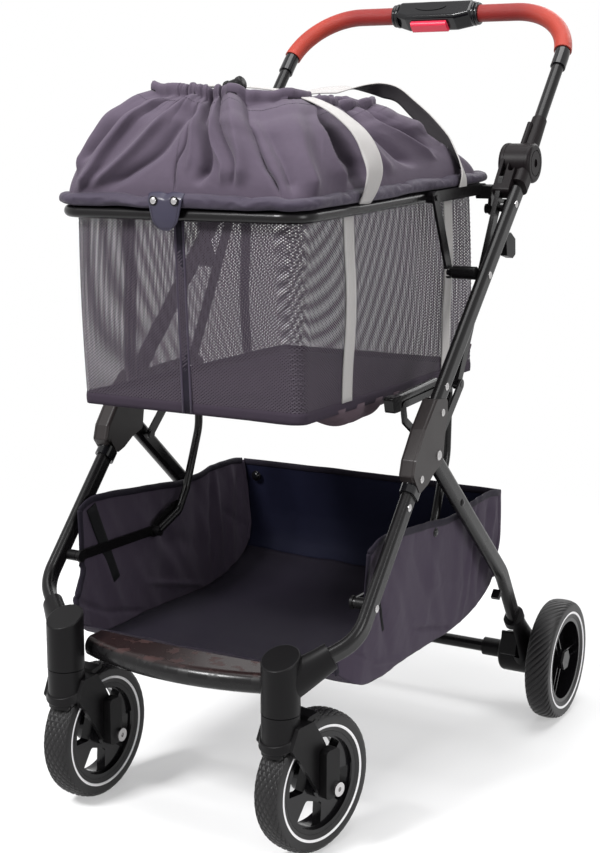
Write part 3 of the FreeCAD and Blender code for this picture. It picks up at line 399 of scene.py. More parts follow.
def smooth_line(points, count):
    """A Catmull-Rom line through the points, evenly stepped."""
    points = np.asarray(points, float)
    padded = np.vstack([2 * points[0] - points[1], points, 2 * points[-1] - points[-2]])
    t = np.linspace(0, 1, 24, endpoint=False)[:, None]
    runs = []
    for a, b, c, d in zip(padded, padded[1:], padded[2:], padded[3:]):
        bend, twist = 2 * a - 5 * b + 4 * c - d, 3 * b - a - 3 * c + d
        runs.append(0.5 * (2 * b + (c - a) * t + bend * t**2 + twist * t**3))
    line = np.vstack([*runs, points[-1:]])
    run = steps_along(line)
    wanted = np.linspace(0, run[-1], count)
    return np.stack([np.interp(wanted, run, line[:, k]) for k in range(line.shape[1])], 1)


def unit(v):
    """The same directions with a length of one."""
    return v / np.maximum(np.linalg.norm(v, axis=-1, keepdims=True), 1e-12)


def sweep(name, path, profile, paint, body="basket", up=(0, 0, 1), closed=False):
    """A closed profile of (side, up) pairs carried along a path; closed joins the path's ends."""
    path = np.asarray(path, float)
    if closed:
        ahead = np.roll(path, -1, 0) - np.roll(path, 1, 0)
    else:
        ahead = np.gradient(path, axis=0)
    ahead = unit(ahead)
    side = unit(np.cross(ahead, np.broadcast_to(np.asarray(up, float), path.shape)))
    rise = np.cross(side, ahead)
    points = path[:, None] + side[:, None] * profile[None, :, :1] + rise[:, None] * profile[None, :, 1:2]
    rows, columns = len(path), len(profile)
    faces = grid_faces(rows, columns, True, closed).tolist()
    if not closed:
        first = list(range(columns))
        faces += [first[::-1], [(rows - 1) * columns + i for i in first]]
    uv = np.stack(np.meshgrid(steps_along(profile), steps_along(path)), -1).reshape(-1, 2)
    return new_piece(name, points.reshape(-1, 3), faces, paint, body, uv)


def oval(half_side, half_up, count=12):
    """Profile of a flattened tube."""
    turn = np.linspace(0, tau, count, endpoint=False)
    return np.stack([half_side * np.cos(turn), half_up * np.sin(turn)], 1)


def loop(half_x, front, rear, radius, count):
    """Points round a rounded rectangle in millimetres, from the middle of its front.

    Each side and each corner keeps its share of the points, so corners stay corners from level to level.
    """
    share = np.array([6, 5, 9, 5, 12, 5, 9, 5, 6], float)
    share = np.round(share / share.sum() * count).astype(int)
    share[4] += count - share.sum()
    r, x = radius, half_x - radius
    runs = []
    corners = [(x, front + r, -90), (x, rear - r, 0), (-x, rear - r, 90), (-x, front + r, 180)]
    last = np.array([0.0, front])
    for i, (cx, cy, begin) in enumerate(corners):
        angle = np.radians(np.linspace(begin, begin + 90, share[2 * i + 1] + 1))
        arc = np.stack([cx + r * np.cos(angle), cy + r * np.sin(angle)], 1)
        t = np.arange(share[2 * i])[:, None] / share[2 * i]
        runs += [last + (arc[0] - last) * t, arc[:-1]]
        last = arc[-1]
    t = np.arange(share[8])[:, None] / share[8]
    runs.append(last + (np.array([0.0, front]) - last) * t)
    return np.vstack(runs)


def lifted(flat, above):
    """Points of a flat loop, a height above the ring's middle, brought into the frame."""
    x, y = flat.T
    return at(x, y, ring_height(y) + above)


def waves(t, seeds, scale=1.0):
    """Gentle irregularity: a few sines of odd lengths."""
    out = np.zeros_like(t)
    for i, seed in enumerate(seeds):
        out = out + np.sin(t * (i + 1.7) * scale + seed) / (i + 1.5)
    return out


# ---- tyres ----
TREAD_ROUND = 68                    # tread pattern's turns round the tyre
TREAD_DEPTH = 0.0017
TYRE_HALF = 0.019                   # half width of the tyre at its shoulders
TYRE_SIDE = ((0.0745, 0.0186), (0.0705, 0.0178), (0.0663, 0.0160))      # radius, distance from the middle
WHITE_LINE = ((0.0752, 0.0189), (0.0744, 0.0193), (0.0726, 0.0191), (0.0718, 0.0183))


def tread_blocks(angle, t, herringbone):
    """Height of the tread from 0 to 1; t runs from -1 to 1 across the tyre."""
    run = angle * TREAD_ROUND / tau
    if herringbone:
        return np.clip(np.sin(run * 2.35 + t * 9.0) ** 2 * 2.6, 0, 1)
    first = np.sin(run * 1.9 + t * 11.0) ** 2
    second = np.sin(run * 1.9 - t * 11.0) ** 2
    return np.clip(np.minimum(first, second) * 3.4, 0, 1)


def tyre_mesh(name, node, body, herringbone):
    """Solid tyre with a raised tread; its middle and axle line come from the CAD tyre."""
    low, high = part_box(node)
    middle = np.array((low + high) / 2)
    joint = next(j for j in frame["joints"] if j["child"] == body)
    axle = unit(np.array(joint["axis"]))
    ahead = unit(np.cross(axle, [0, 0, 1]))
    up = np.cross(ahead, axle)
    around, count = 1080, 57
    angle = np.linspace(0, tau, around, endpoint=False)[:, None]
    spoke = np.cos(angle) * up + np.sin(angle) * ahead
    t = np.linspace(-1, 1, count)[None, :]
    crown = 0.077 + 0.015 * np.sqrt(np.maximum(0, 1 - t**2 * 0.985)) ** 0.9
    depth = TREAD_DEPTH * (1 - np.clip((np.abs(t) - 0.74) / 0.14, 0, 1))
    radius = crown - depth * (1 - tread_blocks(angle, t, herringbone))
    across = TYRE_HALF * np.sin(t * pi / 2) * 0.995
    tread = middle + radius[..., None] * spoke[:, None] + across[..., None] * axle

    def circles(places, sign):
        return [(middle + r * spoke + sign * along * axle)[:, None] for r, along in places]

    grid = np.concatenate([*circles(TYRE_SIDE[::-1], -1), tread, *circles(TYRE_SIDE, 1)], 1)
    faces = grid_faces(around, grid.shape[1], False, True)
    made = new_piece(name, grid.reshape(-1, 3), faces, tyre_rubber, body)
    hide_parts(node)
    for side, sign in (("in", -1), ("out", 1)):
        line = np.concatenate(circles(WHITE_LINE, sign), 1)
        faces = grid_faces(around, len(WHITE_LINE), False, True)
        new_piece(name + "_line_" + side, line.reshape(-1, 3), faces, white_line, body)


for wheel, tread in (("front", False), ("rear", True)):
    for side in ("right", "left"):
        tyre_mesh(wheel + "_tread_" + side, wheel + "_tyre_" + side, wheel + "_wheel_" + side, tread)


# ---- basket cover ----
COVER_LEVELS = np.array([                 # half width, front, rear, height above the ring, radius
    (178, -74, 464, 14.0, 40), (178, -74, 462, 24, 42), (176, -73, 450, 38, 48), (170, -68, 424, 56, 54),
    (154, -54, 374, 90, 64), (141, -44, 334, 108, 66), (130, -29, 318, 119, 68), (121, -15, 309, 130, 70),
    (109, 1, 300, 138, 70),
])
COVER_FOLDS = [                           # share round and share up, width to each side, height in mm
    ([(0.004, 0.90), (0.010, 0.49), (0.000, 0.28), (0.003, 0.00)], 3, 3, -3.5),
    ([(0.904, 0.85), (0.901, 0.43), (0.904, 0.22), (0.896, 0.00)], 20, 9, 11),
    ([(0.884, 1.00), (0.886, 0.60), (0.882, 0.25)], 9, 10, -9),
    ([(0.976, 0.95), (0.950, 0.53), (0.932, 0.28), (0.911, 0.04)], 14, 12, 9),
    ([(1.000, 0.80), (0.978, 0.42), (0.948, 0.20), (0.928, 0.04)], 15, 13, -9),
    ([(0.028, 1.00), (0.035, 0.60), (0.038, 0.33), (0.026, 0.10)], 10, 9, -14),
    ([(0.015, 0.85), (0.019, 0.40), (0.014, 0.20)], 8, 6, 4),
    ([(0.060, 0.98), (0.051, 0.67), (0.049, 0.46), (0.057, 0.27), (0.050, 0.10)], 4, 9, 6),
    ([(0.066, 1.00), (0.064, 0.60), (0.072, 0.30), (0.060, 0.08)], 6, 8, -7),
    ([(0.098, 1.00), (0.092, 0.60), (0.083, 0.34), (0.068, 0.10)], 20, 12, 11),
    ([(0.112, 1.00), (0.108, 0.58), (0.106, 0.29), (0.110, 0.16), (0.112, 0.00)], 4, 6, -9),
    ([(0.124, 0.95), (0.125, 0.50), (0.129, 0.29), (0.131, 0.02)], 12, 14, -9),
    ([(0.156, 1.00), (0.151, 0.43), (0.157, 0.19), (0.167, 0.00)], 18, 16, 9),
    ([(0.178, 1.00), (0.181, 0.54), (0.189, 0.25), (0.200, 0.05)], 12, 5, 10),
    ([(0.194, 1.00), (0.204, 0.42), (0.212, 0.23), (0.206, 0.02)], 12, 14, -12),
    ([(0.236, 1.00), (0.234, 0.50), (0.240, 0.10)], 12, 12, 8),
    ([(0.262, 1.00), (0.258, 0.55), (0.266, 0.15)], 9, 12, -11),
    ([(0.290, 1.00), (0.284, 0.60), (0.296, 0.20)], 14, 6, 10),
    ([(0.312, 1.00), (0.306, 0.60), (0.300, 0.30)], 7, 8, -10),
    ([(0.345, 1.05), (0.343, 0.75), (0.332, 0.50)], 30, 12, 15),
    ([(0.376, 1.00), (0.370, 0.60), (0.350, 0.42), (0.320, 0.36)], 8, 12, -10),
]


COVER_HEM = [                             # rise and pull inward in metres, share of the ruffle
    (0.002, 0.0004, 0.3), (0.006, -0.0008, 0.6), (0.011, -0.0004, 0.9), (0.0145, 0.0016, 1.1),
    (0.0150, 0.0042, 1.1), (0.011, 0.0062, 0.8), (0.002, 0.0078, 0.4), (-0.010, 0.0090, 0.5),
    (-0.030, 0.0130, 0.6),
]


def cover_base(columns, rows):
    """The cover without its gathers; its mouth is higher in front and on the left."""
    levels = smooth_line(COVER_LEVELS, rows)
    sheets = []
    for level, share in zip(levels, np.linspace(0, 1, rows)):
        flat = loop(*level[:3], level[4], columns)
        slope = -0.06 * flat[:, 0] - 0.09 * np.clip(flat[:, 1], -80, 200)
        flat[:, 0] -= 6 * share
        sheets.append(lifted(flat, level[3] + share**1.6 * slope))
    return np.stack(sheets)


def normals(grid):
    """Outward normals of a grid whose columns go round, anticlockwise seen from above."""
    around = np.roll(grid, -1, 1) - np.roll(grid, 1, 1)
    up = np.gradient(grid, axis=0)
    return unit(np.cross(around, up))


def more_folds():
    """Folds in the same manner for the back and the left of the cover."""
    folds = []
    for i, place in enumerate(np.arange(0.400, 0.875, 0.0235)):
        height = (-1) ** i * rng.uniform(6, 11)
        lean = rng.uniform(-0.012, 0.012)
        foot = rng.uniform(0.02, 0.35)
        narrow, wide = rng.uniform(6, 10), rng.uniform(10, 16)
        folds.append(([(place, 1.0), (place + lean, 0.5), (place + 2 * lean, foot)], narrow, wide, height))
    return folds


def fold_height(folds, columns, rows, girth):
    """Height of the cloth above its base form, in metres, from its ridges and valleys."""
    u = np.linspace(0, 1, columns, endpoint=False)[None, :]
    v = np.linspace(0, 1, rows)
    out = np.zeros((rows, columns))
    for points, left, right, height in folds:
        line = smooth_line(points, 40)[::-1]
        low, high = line[0, 1], line[-1, 1]
        centre = np.interp(v, line[:, 1], line[:, 0])
        fade = np.clip((v - low + 0.02) / 0.16, 0, 1) * np.clip((high + 0.12 - v) / 0.12, 0, 1)
        fade = fade * fade * (3 - 2 * fade)
        gap = ((u - centre[:, None] + 0.5) % 1 - 0.5) * girth[:, None]
        width = np.where(gap < 0, left, right) * 0.001
        sharp = 1.25 if min(left, right) < 7 else 1.7
        out += 0.001 * height * fade[:, None] * np.exp(-np.abs(gap / width) ** sharp)
    return out


def fine_gathers(columns, rows, girth):
    """Small close pleats under the drawstring's channel."""
    u = np.linspace(0, 1, columns, endpoint=False)[None, :]
    v = np.linspace(0, 1, rows)[:, None]
    out = np.zeros((rows, columns))
    count = 74
    for place in (np.arange(count) + rng.uniform(-0.4, 0.4, count)) / count:
        reach = rng.uniform(0.12, 0.5)
        strength = rng.uniform(0.3, 1.0)
        fade = np.clip((v - (1 - reach)) / reach, 0, 1) ** 1.4
        gap = ((u - place + 0.5) % 1 - 0.5) * girth[:, None]
        out -= 0.0036 * strength * fade * np.exp(-np.abs(gap / 0.0035) ** 1.3)
    return out


def presses_down(piece):
    """Gives the piece a mesh of its own."""
    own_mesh(piece)


def make_cover():
    """Gathered cover of the basket, with its drawstring's hem turned inward; gives its grid."""
    columns, rows = 1100, 84
    base = cover_base(columns, rows)
    out = normals(base)
    girth = np.linalg.norm(np.roll(base, -1, 1) - base, axis=2).sum(1)
    u = np.linspace(0, tau, columns, endpoint=False)[None, :]
    v = np.linspace(0, 1, rows)[:, None]
    height = 1.25 * fold_height(COVER_FOLDS + more_folds(), columns, rows, girth)
    height += fine_gathers(columns, rows, girth)
    slack = waves(u + 1.3 * v, (0.4, 2.1, 4.4, 1.2), 3.0) * waves(5 * v + 0 * u, (1.0, 3.0), 1.0)
    height += 0.0016 * slack * np.sin(v * pi)
    height = height * np.clip(0.25 + v * 6, 0, 1)
    grid = base + out * [1, 1, 0.6] * height[..., None]
    grid[:, :, 2] = np.maximum(grid[:, :, 2], base[0, :, 2])
    mouth = grid[-1]
    level = mouth.copy()
    level[:, 2] = 0.45 * mouth[:, 2] + 0.55 * base[-1, :, 2]      # the hem is calmer than the gathers
    centre = mouth.mean(0)
    inward = unit((centre - mouth) * [1, 1, 0])
    ruffle = waves(u[0], (0.3, 1.7, 4.0), 23.0) + 0.6 * np.sin(u[0] * 49)
    lift = waves(u[0], (2.0, 5.0, 0.6), 11.0)
    hem = []
    for rise, pull, amount in COVER_HEM:
        shift = inward * (pull + 0.0012 * amount * ruffle)[:, None]
        hem.append(level + shift + np.array([0, 0, 1]) * (rise + 0.0012 * amount * lift)[:, None])
    grid = np.concatenate([grid, np.stack(hem)])
    made = surface("cover_cloth", grid, fabric, 0.0011, around=True, held="gathered")
    presses_down(made)
    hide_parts("basket_cover")
    return grid


cover_grid = make_cover()


# ---- padded rim ----
def taken(piece):
    """The piece's mesh as its modifiers leave it."""
    return bpy.data.meshes.new_from_object(piece.evaluated_get(bpy.context.evaluated_depsgraph_get()))


def filled(piece, voxel, reach, sewn, slack, frames=14):
    """Fills the piece: its cover swells and creases between the points where it is sewn down.

    voxel is the size of its mesh, reach the farthest that a point moves; sewn picks the points that stay.
    """
    even_mesh = piece.modifiers.new("even", "REMESH")
    even_mesh.mode = "VOXEL"
    even_mesh.voxel_size = voxel
    mesh = taken(piece)
    piece.modifiers.clear()
    piece.data = mesh
    start = np.zeros(len(mesh.vertices) * 3)
    mesh.vertices.foreach_get("co", start)
    start = start.reshape(-1, 3)
    group = piece.vertex_groups.new(name="sewn")
    group.add(np.flatnonzero(sewn(start)).tolist(), 1.0, "REPLACE")
    cloth = piece.modifiers.new("filling", "CLOTH")
    cloth.settings.use_pressure = True
    cloth.settings.uniform_pressure_force = 4
    cloth.settings.shrink_min = -slack
    cloth.settings.vertex_group_mass = "sewn"
    cloth.settings.effector_weights.gravity = 0
    cloth.point_cache.frame_start = 1
    cloth.point_cache.frame_end = frames
    for frame_number in range(1, frames + 1):
        scene.frame_set(frame_number)
    swollen = taken(piece)
    end = np.zeros(len(swollen.vertices) * 3)
    swollen.vertices.foreach_get("co", end)
    move = end.reshape(-1, 3) - start
    far = np.linalg.norm(move, axis=1, keepdims=True)
    move = move * np.minimum(1, reach / np.maximum(far, 1e-9))
    piece.modifiers.clear()
    mesh.vertices.foreach_set("co", (start + move).ravel())
    mesh.polygons.foreach_set("use_smooth", [True] * len(mesh.polygons))
    piece.modifiers.new("fine", "SUBSURF").render_levels = 1
    scene.frame_set(1)


def make_rim():
    """Stuffed roll that lies on the ring, pulled flat where it is sewn to the basket."""
    count = 720
    half_side, half_up = 0.0118, 0.0080
    path = lifted(loop(176.5, -76, 479, 36, count), 15.8)
    path[:, 2] += 0.0009 * waves(np.linspace(0, tau, count, endpoint=False), (0.5, 2.4, 4.1), 7.0)
    profile = oval(half_side, half_up, 20)
    profile[:, 1] = np.sign(profile[:, 1]) * np.abs(profile[:, 1] / half_up) ** 0.8 * half_up
    made = sweep("rim_roll", path, profile, rim_fabric, closed=True)

    def underside(p):
        return p[:, 2] - RING_SLOPE * (p[:, 1] - LINE_Y) - ring_height(0) / 1000 < 0.0105

    filled(made, 0.0042, 0.0022, underside, 0.018)
    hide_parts("basket_rim")


make_rim()


# ---- net ----
def basket_wall(columns, out, low=0.0, high=1.0, rows=2):
    """Rows of points up the basket's sides; low and high are shares of its height."""
    floor = loop(164.0 + out, -48 - out, 475 + out, 14 + out, columns)
    brim = loop(164.0 + out, -63.5 - out, 462 + out, 22 + out, columns)
    foot = at(*floor.T, 1000 * SHELL_LOW.z)
    top = lifted(brim, 7.0)
    t = np.linspace(low, high, rows)[:, None, None]
    return foot + (top - foot) * t


def outward(points):
    """Level directions away from the basket's middle."""
    centre = np.array([0, (SHELL_LOW.y + SHELL_HIGH.y) / 2, 0])
    return unit((points - centre) * [1, 0.6, 0])


def make_net():
    """Knitted net: two sets of slanting cords, one just outside the other."""
    columns, steps = 1600, 44
    wall = basket_wall(columns, -0.3)
    ring_length = steps_along(np.vstack([wall[0], wall[0][:1]]))
    round_length = ring_length[-1]
    height = np.linalg.norm(wall[1] - wall[0], axis=1).mean()
    pitch, rise, wide = 0.0052, 0.0042, 0.0018
    count = int(round_length / pitch)
    points, faces = [], []
    for family, sign in enumerate((-1, 1)):
        begin = np.arange(count)[:, None] * round_length / count
        t = np.linspace(0, 1, steps)[None, :]
        s = begin + sign * t * height * pitch / rise
        for offset in (-0.5, 0.5):
            along = (s + offset * wide * 1.3) % round_length
            place = np.interp(along, ring_length, np.arange(columns + 1))
            whole = np.floor(place).astype(int)
            part = (place - whole)[..., None]
            a, b = whole % columns, (whole + 1) % columns
            foot, top = (edge[a] * (1 - part) + edge[b] * part for edge in wall)
            point = foot + (top - foot) * t[..., None]
            belly = 0.0020 * np.sin(t * pi) * (1 + 0.5 * np.sin(along * 31))
            point = point + outward(point) * (belly + family * 0.00025)[..., None]
            points.append(point.reshape(-1, 3))
        start = 2 * family * count * steps
        i = np.arange(count)[:, None] * steps + np.arange(steps - 1)[None, :]
        near, far = start + i, start + count * steps + i
        faces.append(np.stack([near, far, far + 1, near + 1], -1).reshape(-1, 4))
    points, faces = np.vstack(points), np.vstack(faces)
    made = new_piece("net_wall", points, faces, net_cord, smooth=False)
    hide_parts("basket_shell")


make_net()


def band(name, low, high, paint, out, thickness):
    """A strip of tape right round the basket; low and high are shares of its height."""
    rows = 4
    grid = basket_wall(600, out, low, high, rows)
    swell = np.sin(np.linspace(0, pi, rows))[:, None, None]
    grid = grid + outward(grid) * 0.0008 * swell
    surface(name, grid, paint, thickness, around=True)


band("hem_band", -0.012, 0.045, hem_cloth, -0.3, 0.0012)
band("brim_band", 0.955, 1.028, dark_binding, 0.6, 0.0014)


def front_line(x, low, high, out, count=12):
    """Points up the front of the basket at x."""
    t = np.linspace(low, high, count)
    top = ring_height(-63.5) + 7
    z = 1000 * SHELL_LOW.z + (top - 1000 * SHELL_LOW.z) * t
    return at(x, -48 - 15.5 * t - out, z)


def flat_tape(name, path, wide, paint, across, body="basket", thickness=0.0012):
    """Tape laid along a path, slightly crowned; across is the direction of its width."""
    side = unit(np.asarray(across, float))
    t = np.linspace(-0.5, 0.5, 7)[None, :, None]
    ahead = unit(np.gradient(path, axis=0))
    out = unit(np.cross(ahead, np.broadcast_to(side, ahead.shape)))
    grid = path[:, None] + side * (t * wide) + out[:, None] * (0.0004 * np.cos(t * pi))
    surface(name, grid, paint, thickness, body)


flat_tape("front_strip", front_line(0, -0.01, 0.98, 1.4), 0.012, dark_binding, (1, 0, 0))
for side, x in (("right", 6.0), ("left", -6.0)):
    path = front_line(x, -0.01, 0.98, 2.0)
    cord = oval(0.0015, 0.0015)
    sweep("front_piping_" + side, path, cord, rim_fabric, up=(0, -1, 0))


def make_floor():
    """Stuffed floor of the basket, bellying down between its hems."""
    columns, rows, middle = 160, 26, 213
    shares = np.linspace(1, 0, rows)
    outline = loop(163, -47, 474, 14, columns) - [0, middle]
    sheets = []
    for level, deep in ((547, 20), (549, -3)):
        for share in shares:
            flat = outline * share
            drop = 1 - share**2.2
            quilt = 1.2 * np.sin(flat[:, 0] / 21) * np.sin(flat[:, 1] / 21) * drop
            z = level - deep * drop + quilt
            sheets.append(at(flat[:, 0], flat[:, 1] + middle, z))
    grid = np.stack(sheets[:rows][::-1] + sheets[rows:])
    made = surface("floor_cushion", grid, base_cloth, around=True, held=None)

    def hem(p):
        return (np.abs(p[:, 0]) > 0.158) | (np.abs(p[:, 1] - LINE_Y - 0.213) > 0.256)

    filled(made, 0.006, 0.005, hem, 0.02)
    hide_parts("basket_floor_pad")


make_floor()


def make_pouch():
    """Slack cloth that hangs out under the right-hand hem, and the pointed flap behind it."""
    rows, columns, hem = 60, 24, 549
    s = np.linspace(0, 1, rows)[:, None]
    angle = np.linspace(0, pi, columns)[None, :]
    deep = 31 * np.sin(pi * s**0.8) ** 0.6 + 1.2 * np.sin(s * 31) * np.sin(angle)
    x = 131 + 32.5 * np.cos(angle) + 2.0 * np.sin(s * 22 + angle)
    z = hem - deep * np.sin(angle) ** 0.8
    surface("floor_pouch", at(x, 40 + 185 * s, z), pouch_cloth, 0.0012, held="hung")
    s = np.linspace(0, 1, 14)[:, None]
    across = np.linspace(-1, 1, 9)[None, :]
    half = 15 * (1 - s) ** 0.7 + 0.8
    x = 160 - 6 * s + 2.5 * across * (1 - s)
    z = hem + 11 + 16 * s + half * across - 3 * np.cos(3 * s)
    surface("rear_flap", at(x, 446 + 44 * s, z), pouch_cloth, 0.0014, held="hung")


make_pouch()


# ---- webbing ----
def side_line(y, sign, low, high, out, count):
    """Points up one side of the basket; low and high are shares of its height."""
    t = np.linspace(low, high, count)
    foot, top = 545, ring_height(y) + 6
    z = foot + (top - foot) * t
    x = sign * (164 + out + 3.4 * np.sin(pi * np.clip(t, 0, 1)) ** 1.1)
    return at(x, y + 2.2 * np.sin(9 * t + y), z)


FRONT_LOOP = [                            # x and height of the loops' lines, in millimetres
    (-185, 806), (-196, 826), (-214, 858), (-222, 880), (-208, 902), (-178, 922), (-140, 938), (-70, 947),
    (0, 948), (70, 942), (110, 932), (139, 920), (160, 907), (178, 892), (191, 873), (200, 847), (196, 824),
    (187, 806),
]
REAR_LOOP = [
    (-185, 812), (-190, 838), (-186, 862), (-168, 890), (-140, 914), (-104, 936), (-50, 950), (14, 952),
    (52, 951), (83, 945), (108, 926), (130, 907), (152, 886), (170, 865), (184, 846), (189, 832), (187, 812),
]
FRONT_TURNS = [                           # share of the loop, yaw and roll of the tape in degrees
    (0, 0, 0), (0.15, -20, 0), (0.5, 0, 0), (0.8, 6, 0), (0.9, 18, 0), (1, 0, 0),
]
REAR_TURNS = [
    (0, 0, 0), (0.5, 0, 20), (0.62, 0, -44), (0.78, 0, -62), (0.86, 0, -58), (0.94, 8, -30), (1, 0, 0),
]
WEBBING_Y = {"front": 66, "rear": 366}


def make_loop(which, line, turns):
    """Carrying loop of webbing across the basket, turning as it goes, with painted shade on its inner side."""
    count = 120
    path = smooth_line([at(x, WEBBING_Y[which], z) for x, z in line], count)
    share = np.linspace(0, 1, count)
    turns = np.array(turns)
    yaw = np.radians(np.interp(share, turns[:, 0], turns[:, 1]))
    roll = np.radians(np.interp(share, turns[:, 0], turns[:, 2]))
    ahead = unit(np.gradient(path, axis=0))
    side = np.stack([np.sin(yaw), np.cos(yaw), np.zeros(count)], 1)
    side = unit(side - ahead * (ahead * side).sum(1)[:, None])
    out = np.cross(ahead, side)
    side = side * np.cos(roll)[:, None] + out * np.sin(roll)[:, None]
    out = np.cross(ahead, side)
    t = np.linspace(-0.5, 0.5, 9)[None, :, None]
    grid = path[:, None] + side[:, None] * (t * 0.030) + out[:, None] * (0.0010 * np.cos(t * pi))
    grid = grid[:, ::-1]
    # the inner side takes the darker copy of the webbing: painted shade
    made = surface("carry_loop_" + which, grid, webbing, 0.0018, inner=webbing_painted_shade)
    presses_down(made)
    return made


first_loop = make_loop("front", FRONT_LOOP, FRONT_TURNS)
make_loop("rear", REAR_LOOP, REAR_TURNS)
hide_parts("basket_straps")
for which, y in WEBBING_Y.items():
    for side, sign in (("right", 1), ("left", -1)):
        name = "side_webbing_" + which + "_" + side
        path = side_line(y, sign, 0.045, 0.97, 0.9, 40)
        flat_tape(name, path, 0.026, webbing, (0, 1, 0), thickness=0.0016)


# ---- front tab ----
def stitches(name, path, out):
    """A row of short raised threads along a path; out points away from the cloth."""
    pitch, half_wide, high = 0.0034, 0.00032, 0.0004
    run = steps_along(path)
    begin = np.arange(0.3 * pitch, run[-1] - pitch, pitch)
    out = np.broadcast_to(np.asarray(out, float), path.shape)
    parts = []
    for place in (begin, begin + 0.62 * pitch):
        middle = np.stack([np.interp(place, run, path[:, k]) for k in range(3)], 1)
        rise = unit(np.stack([np.interp(place, run, out[:, k]) for k in range(3)], 1))
        parts.append((middle, rise))
    ahead = unit(parts[1][0] - parts[0][0])
    corners = []
    for middle, rise in parts:
        side = unit(np.cross(ahead, rise)) * half_wide
        crown = middle + rise * high
        corners += [middle - side, crown - 0.5 * side, crown + 0.5 * side, middle + side]
    points = np.stack(corners, 1).reshape(-1, 3)
    quads = np.array([(0, 1, 5, 4), (1, 2, 6, 5), (2, 3, 7, 6), (3, 2, 1, 0), (4, 5, 6, 7)])
    faces = (np.arange(len(begin))[:, None, None] * 8 + quads).reshape(-1, 4)
    return new_piece(name, points, faces, thread)


SNAP_DOME = ((0.92, 0.0), (1.0, 0.12), (0.93, 0.34), (0.62, 0.50), (0.30, 0.56), (0.02, 0.58))
SNAP_RING = ((1.32, -0.10), (1.32, 0.06), (1.2, 0.12), (0.9, 0.10))      # distance out and height, in radii


def stud(name, middle, axis, radius, paint, body="basket"):
    """Domed snap head on a thin dark washer."""
    axis = unit(np.asarray(axis, float))
    side = unit(np.cross(axis, [0.3, 0.2, 1.0]))
    up = np.cross(axis, side)
    count = 32
    angle = np.linspace(0, tau, count, endpoint=False)[:, None]
    spoke = np.cos(angle) * side + np.sin(angle) * up
    for part, levels, coat in (("", SNAP_DOME, paint), ("_ring", SNAP_RING, rim_black)):
        rings = np.concatenate([middle + radius * (r * spoke + h * axis) for r, h in levels])
        new_piece(name + part, rings, grid_faces(len(levels), count, True), coat, body)


def make_tab():
    """Leatherette tab folded over the rim and ring in front, held by two snaps."""
    rows, columns = 30, 33
    ring = ring_height(RING_FRONT)
    top, bottom, middle = ring + 27, ring - 19, -4
    grid = np.zeros((rows, columns, 3))
    for i, t in enumerate(np.linspace(0, 1, rows)):
        rounding = max(0.0, (t - 0.66) / 0.345)
        half = 25.5 * (1 - 0.42 * t**1.2) * np.sqrt(max(0.0, 1 - rounding**2))
        for k, s in enumerate(np.linspace(-1, 1, columns)):
            dip = (1 - t) * (2.2 * np.exp(-(s / 0.22) ** 2) + 1.8 * s**4)
            y = -87.6 - 1.8 * np.sin(pi * t) * (1 - s * s) + 5.5 * max(0.0, 0.16 - t) / 0.16
            y += 1.5 * np.clip((t - 0.72) / 0.28, 0, 1)
            grid[i, k] = at(half * s + middle, y, top + (bottom - top) * t - dip)
    surface("front_tab", grid, leatherette, 0.0024)
    edge = np.concatenate([grid[2:-3, 2], grid[-3, 3:-3], grid[2:-3, -3][::-1]])
    stitches("tab_stitches", edge + [0, -0.0014, 0], (0, -1, 0))
    for side, out in (("right", 15.0), ("left", -15.0)):
        stud("tab_snap_" + side, at(middle + out, -90.6, ring + 17), (0, -1, 0), 0.0044, steel)


make_tab()

CHANNEL_ROW = 76                    # row of the cover's grid that the drawstring's channel is sewn along
channel = cover_grid[CHANNEL_ROW][::2]
channel_out = unit((channel - channel.mean(0)) * [1, 1, 0]) + [0, 0, 0.4]
presses_down(stitches("cover_stitches", channel + channel_out * 0.0009, channel_out))


# ---- cord lock ----
def make_cord_lock():
    """Barrel lock of the drawstring, lying on the front of the collar."""
    middle = at(26, 24, 947)
    axis = unit(np.array([0.92, -0.15, 0.25]))
    for name, begin, end, radius, count in (("cord_lock", -0.013, 0.013, 0.0085, 9),
                                            ("cord_lock_flange_0", -0.0115, -0.0085, 0.0098, 3),
                                            ("cord_lock_flange_1", 0.0085, 0.0115, 0.0098, 3)):
        path = middle + axis * np.linspace(begin, end, count)[:, None]
        presses_down(sweep(name, path, oval(radius, radius, 20), housing_black))


make_cord_lock()


# ---- tub ----
FLOOR_LINE = [                            # y and height of the tub's outlines, in millimetres
    (-22, 229), (-10, 220), (12, 207), (44, 198), (96, 195), (144, 197), (227, 195), (299, 193),
    (360, 198), (405, 209), (438, 224), (455, 245), (459, 280), (457, 320), (452, 366),
]
TOP_LINE = [
    (16, 378), (45, 387), (90, 385), (134, 380), (204, 373), (262, 366), (315, 367), (352, 372), (411, 372),
    (446, 367),
]
FRONT_LINE = [(-22, 229), (-26, 246), (-21, 262), (-4, 278), (12, 300), (15, 335), (16, 378)]
REAR_LINE = [(449, 236), (458, 275), (456, 320), (446, 368)]
SIDE_FOLDS = [                            # two ends of the fold, its width and its height
    ((350, 365), (340, 215), 7, 2.6), ((362, 365), (366, 240), 6, -2.4), ((300, 362), (310, 200), 16, 2.2),
    ((235, 372), (200, 215), 20, 2.0), ((120, 376), (100, 200), 26, 1.8), ((410, 370), (396, 230), 8, -2.2),
    ((430, 362), (424, 250), 7, 2.0), ((40, 330), (100, 215), 9, -1.8), ((-20, 262), (57, 222), 3, 2.2),
    ((57, 222), (144, 200), 3, 2.2), ((173, 235), (310, 197), 4, -2.4), ((150, 350), (240, 230), 12, -1.6),
    ((380, 300), (440, 262), 6, 1.8), ((30, 380), (60, 240), 9, 1.2), ((200, 300), (330, 250), 13, 1.6),
]


TUB_FLOOR, TUB_DEPTH = 195, 180           # height of the floor, and from there up to the brim
BINDING = oval(0.0022, 0.0052)


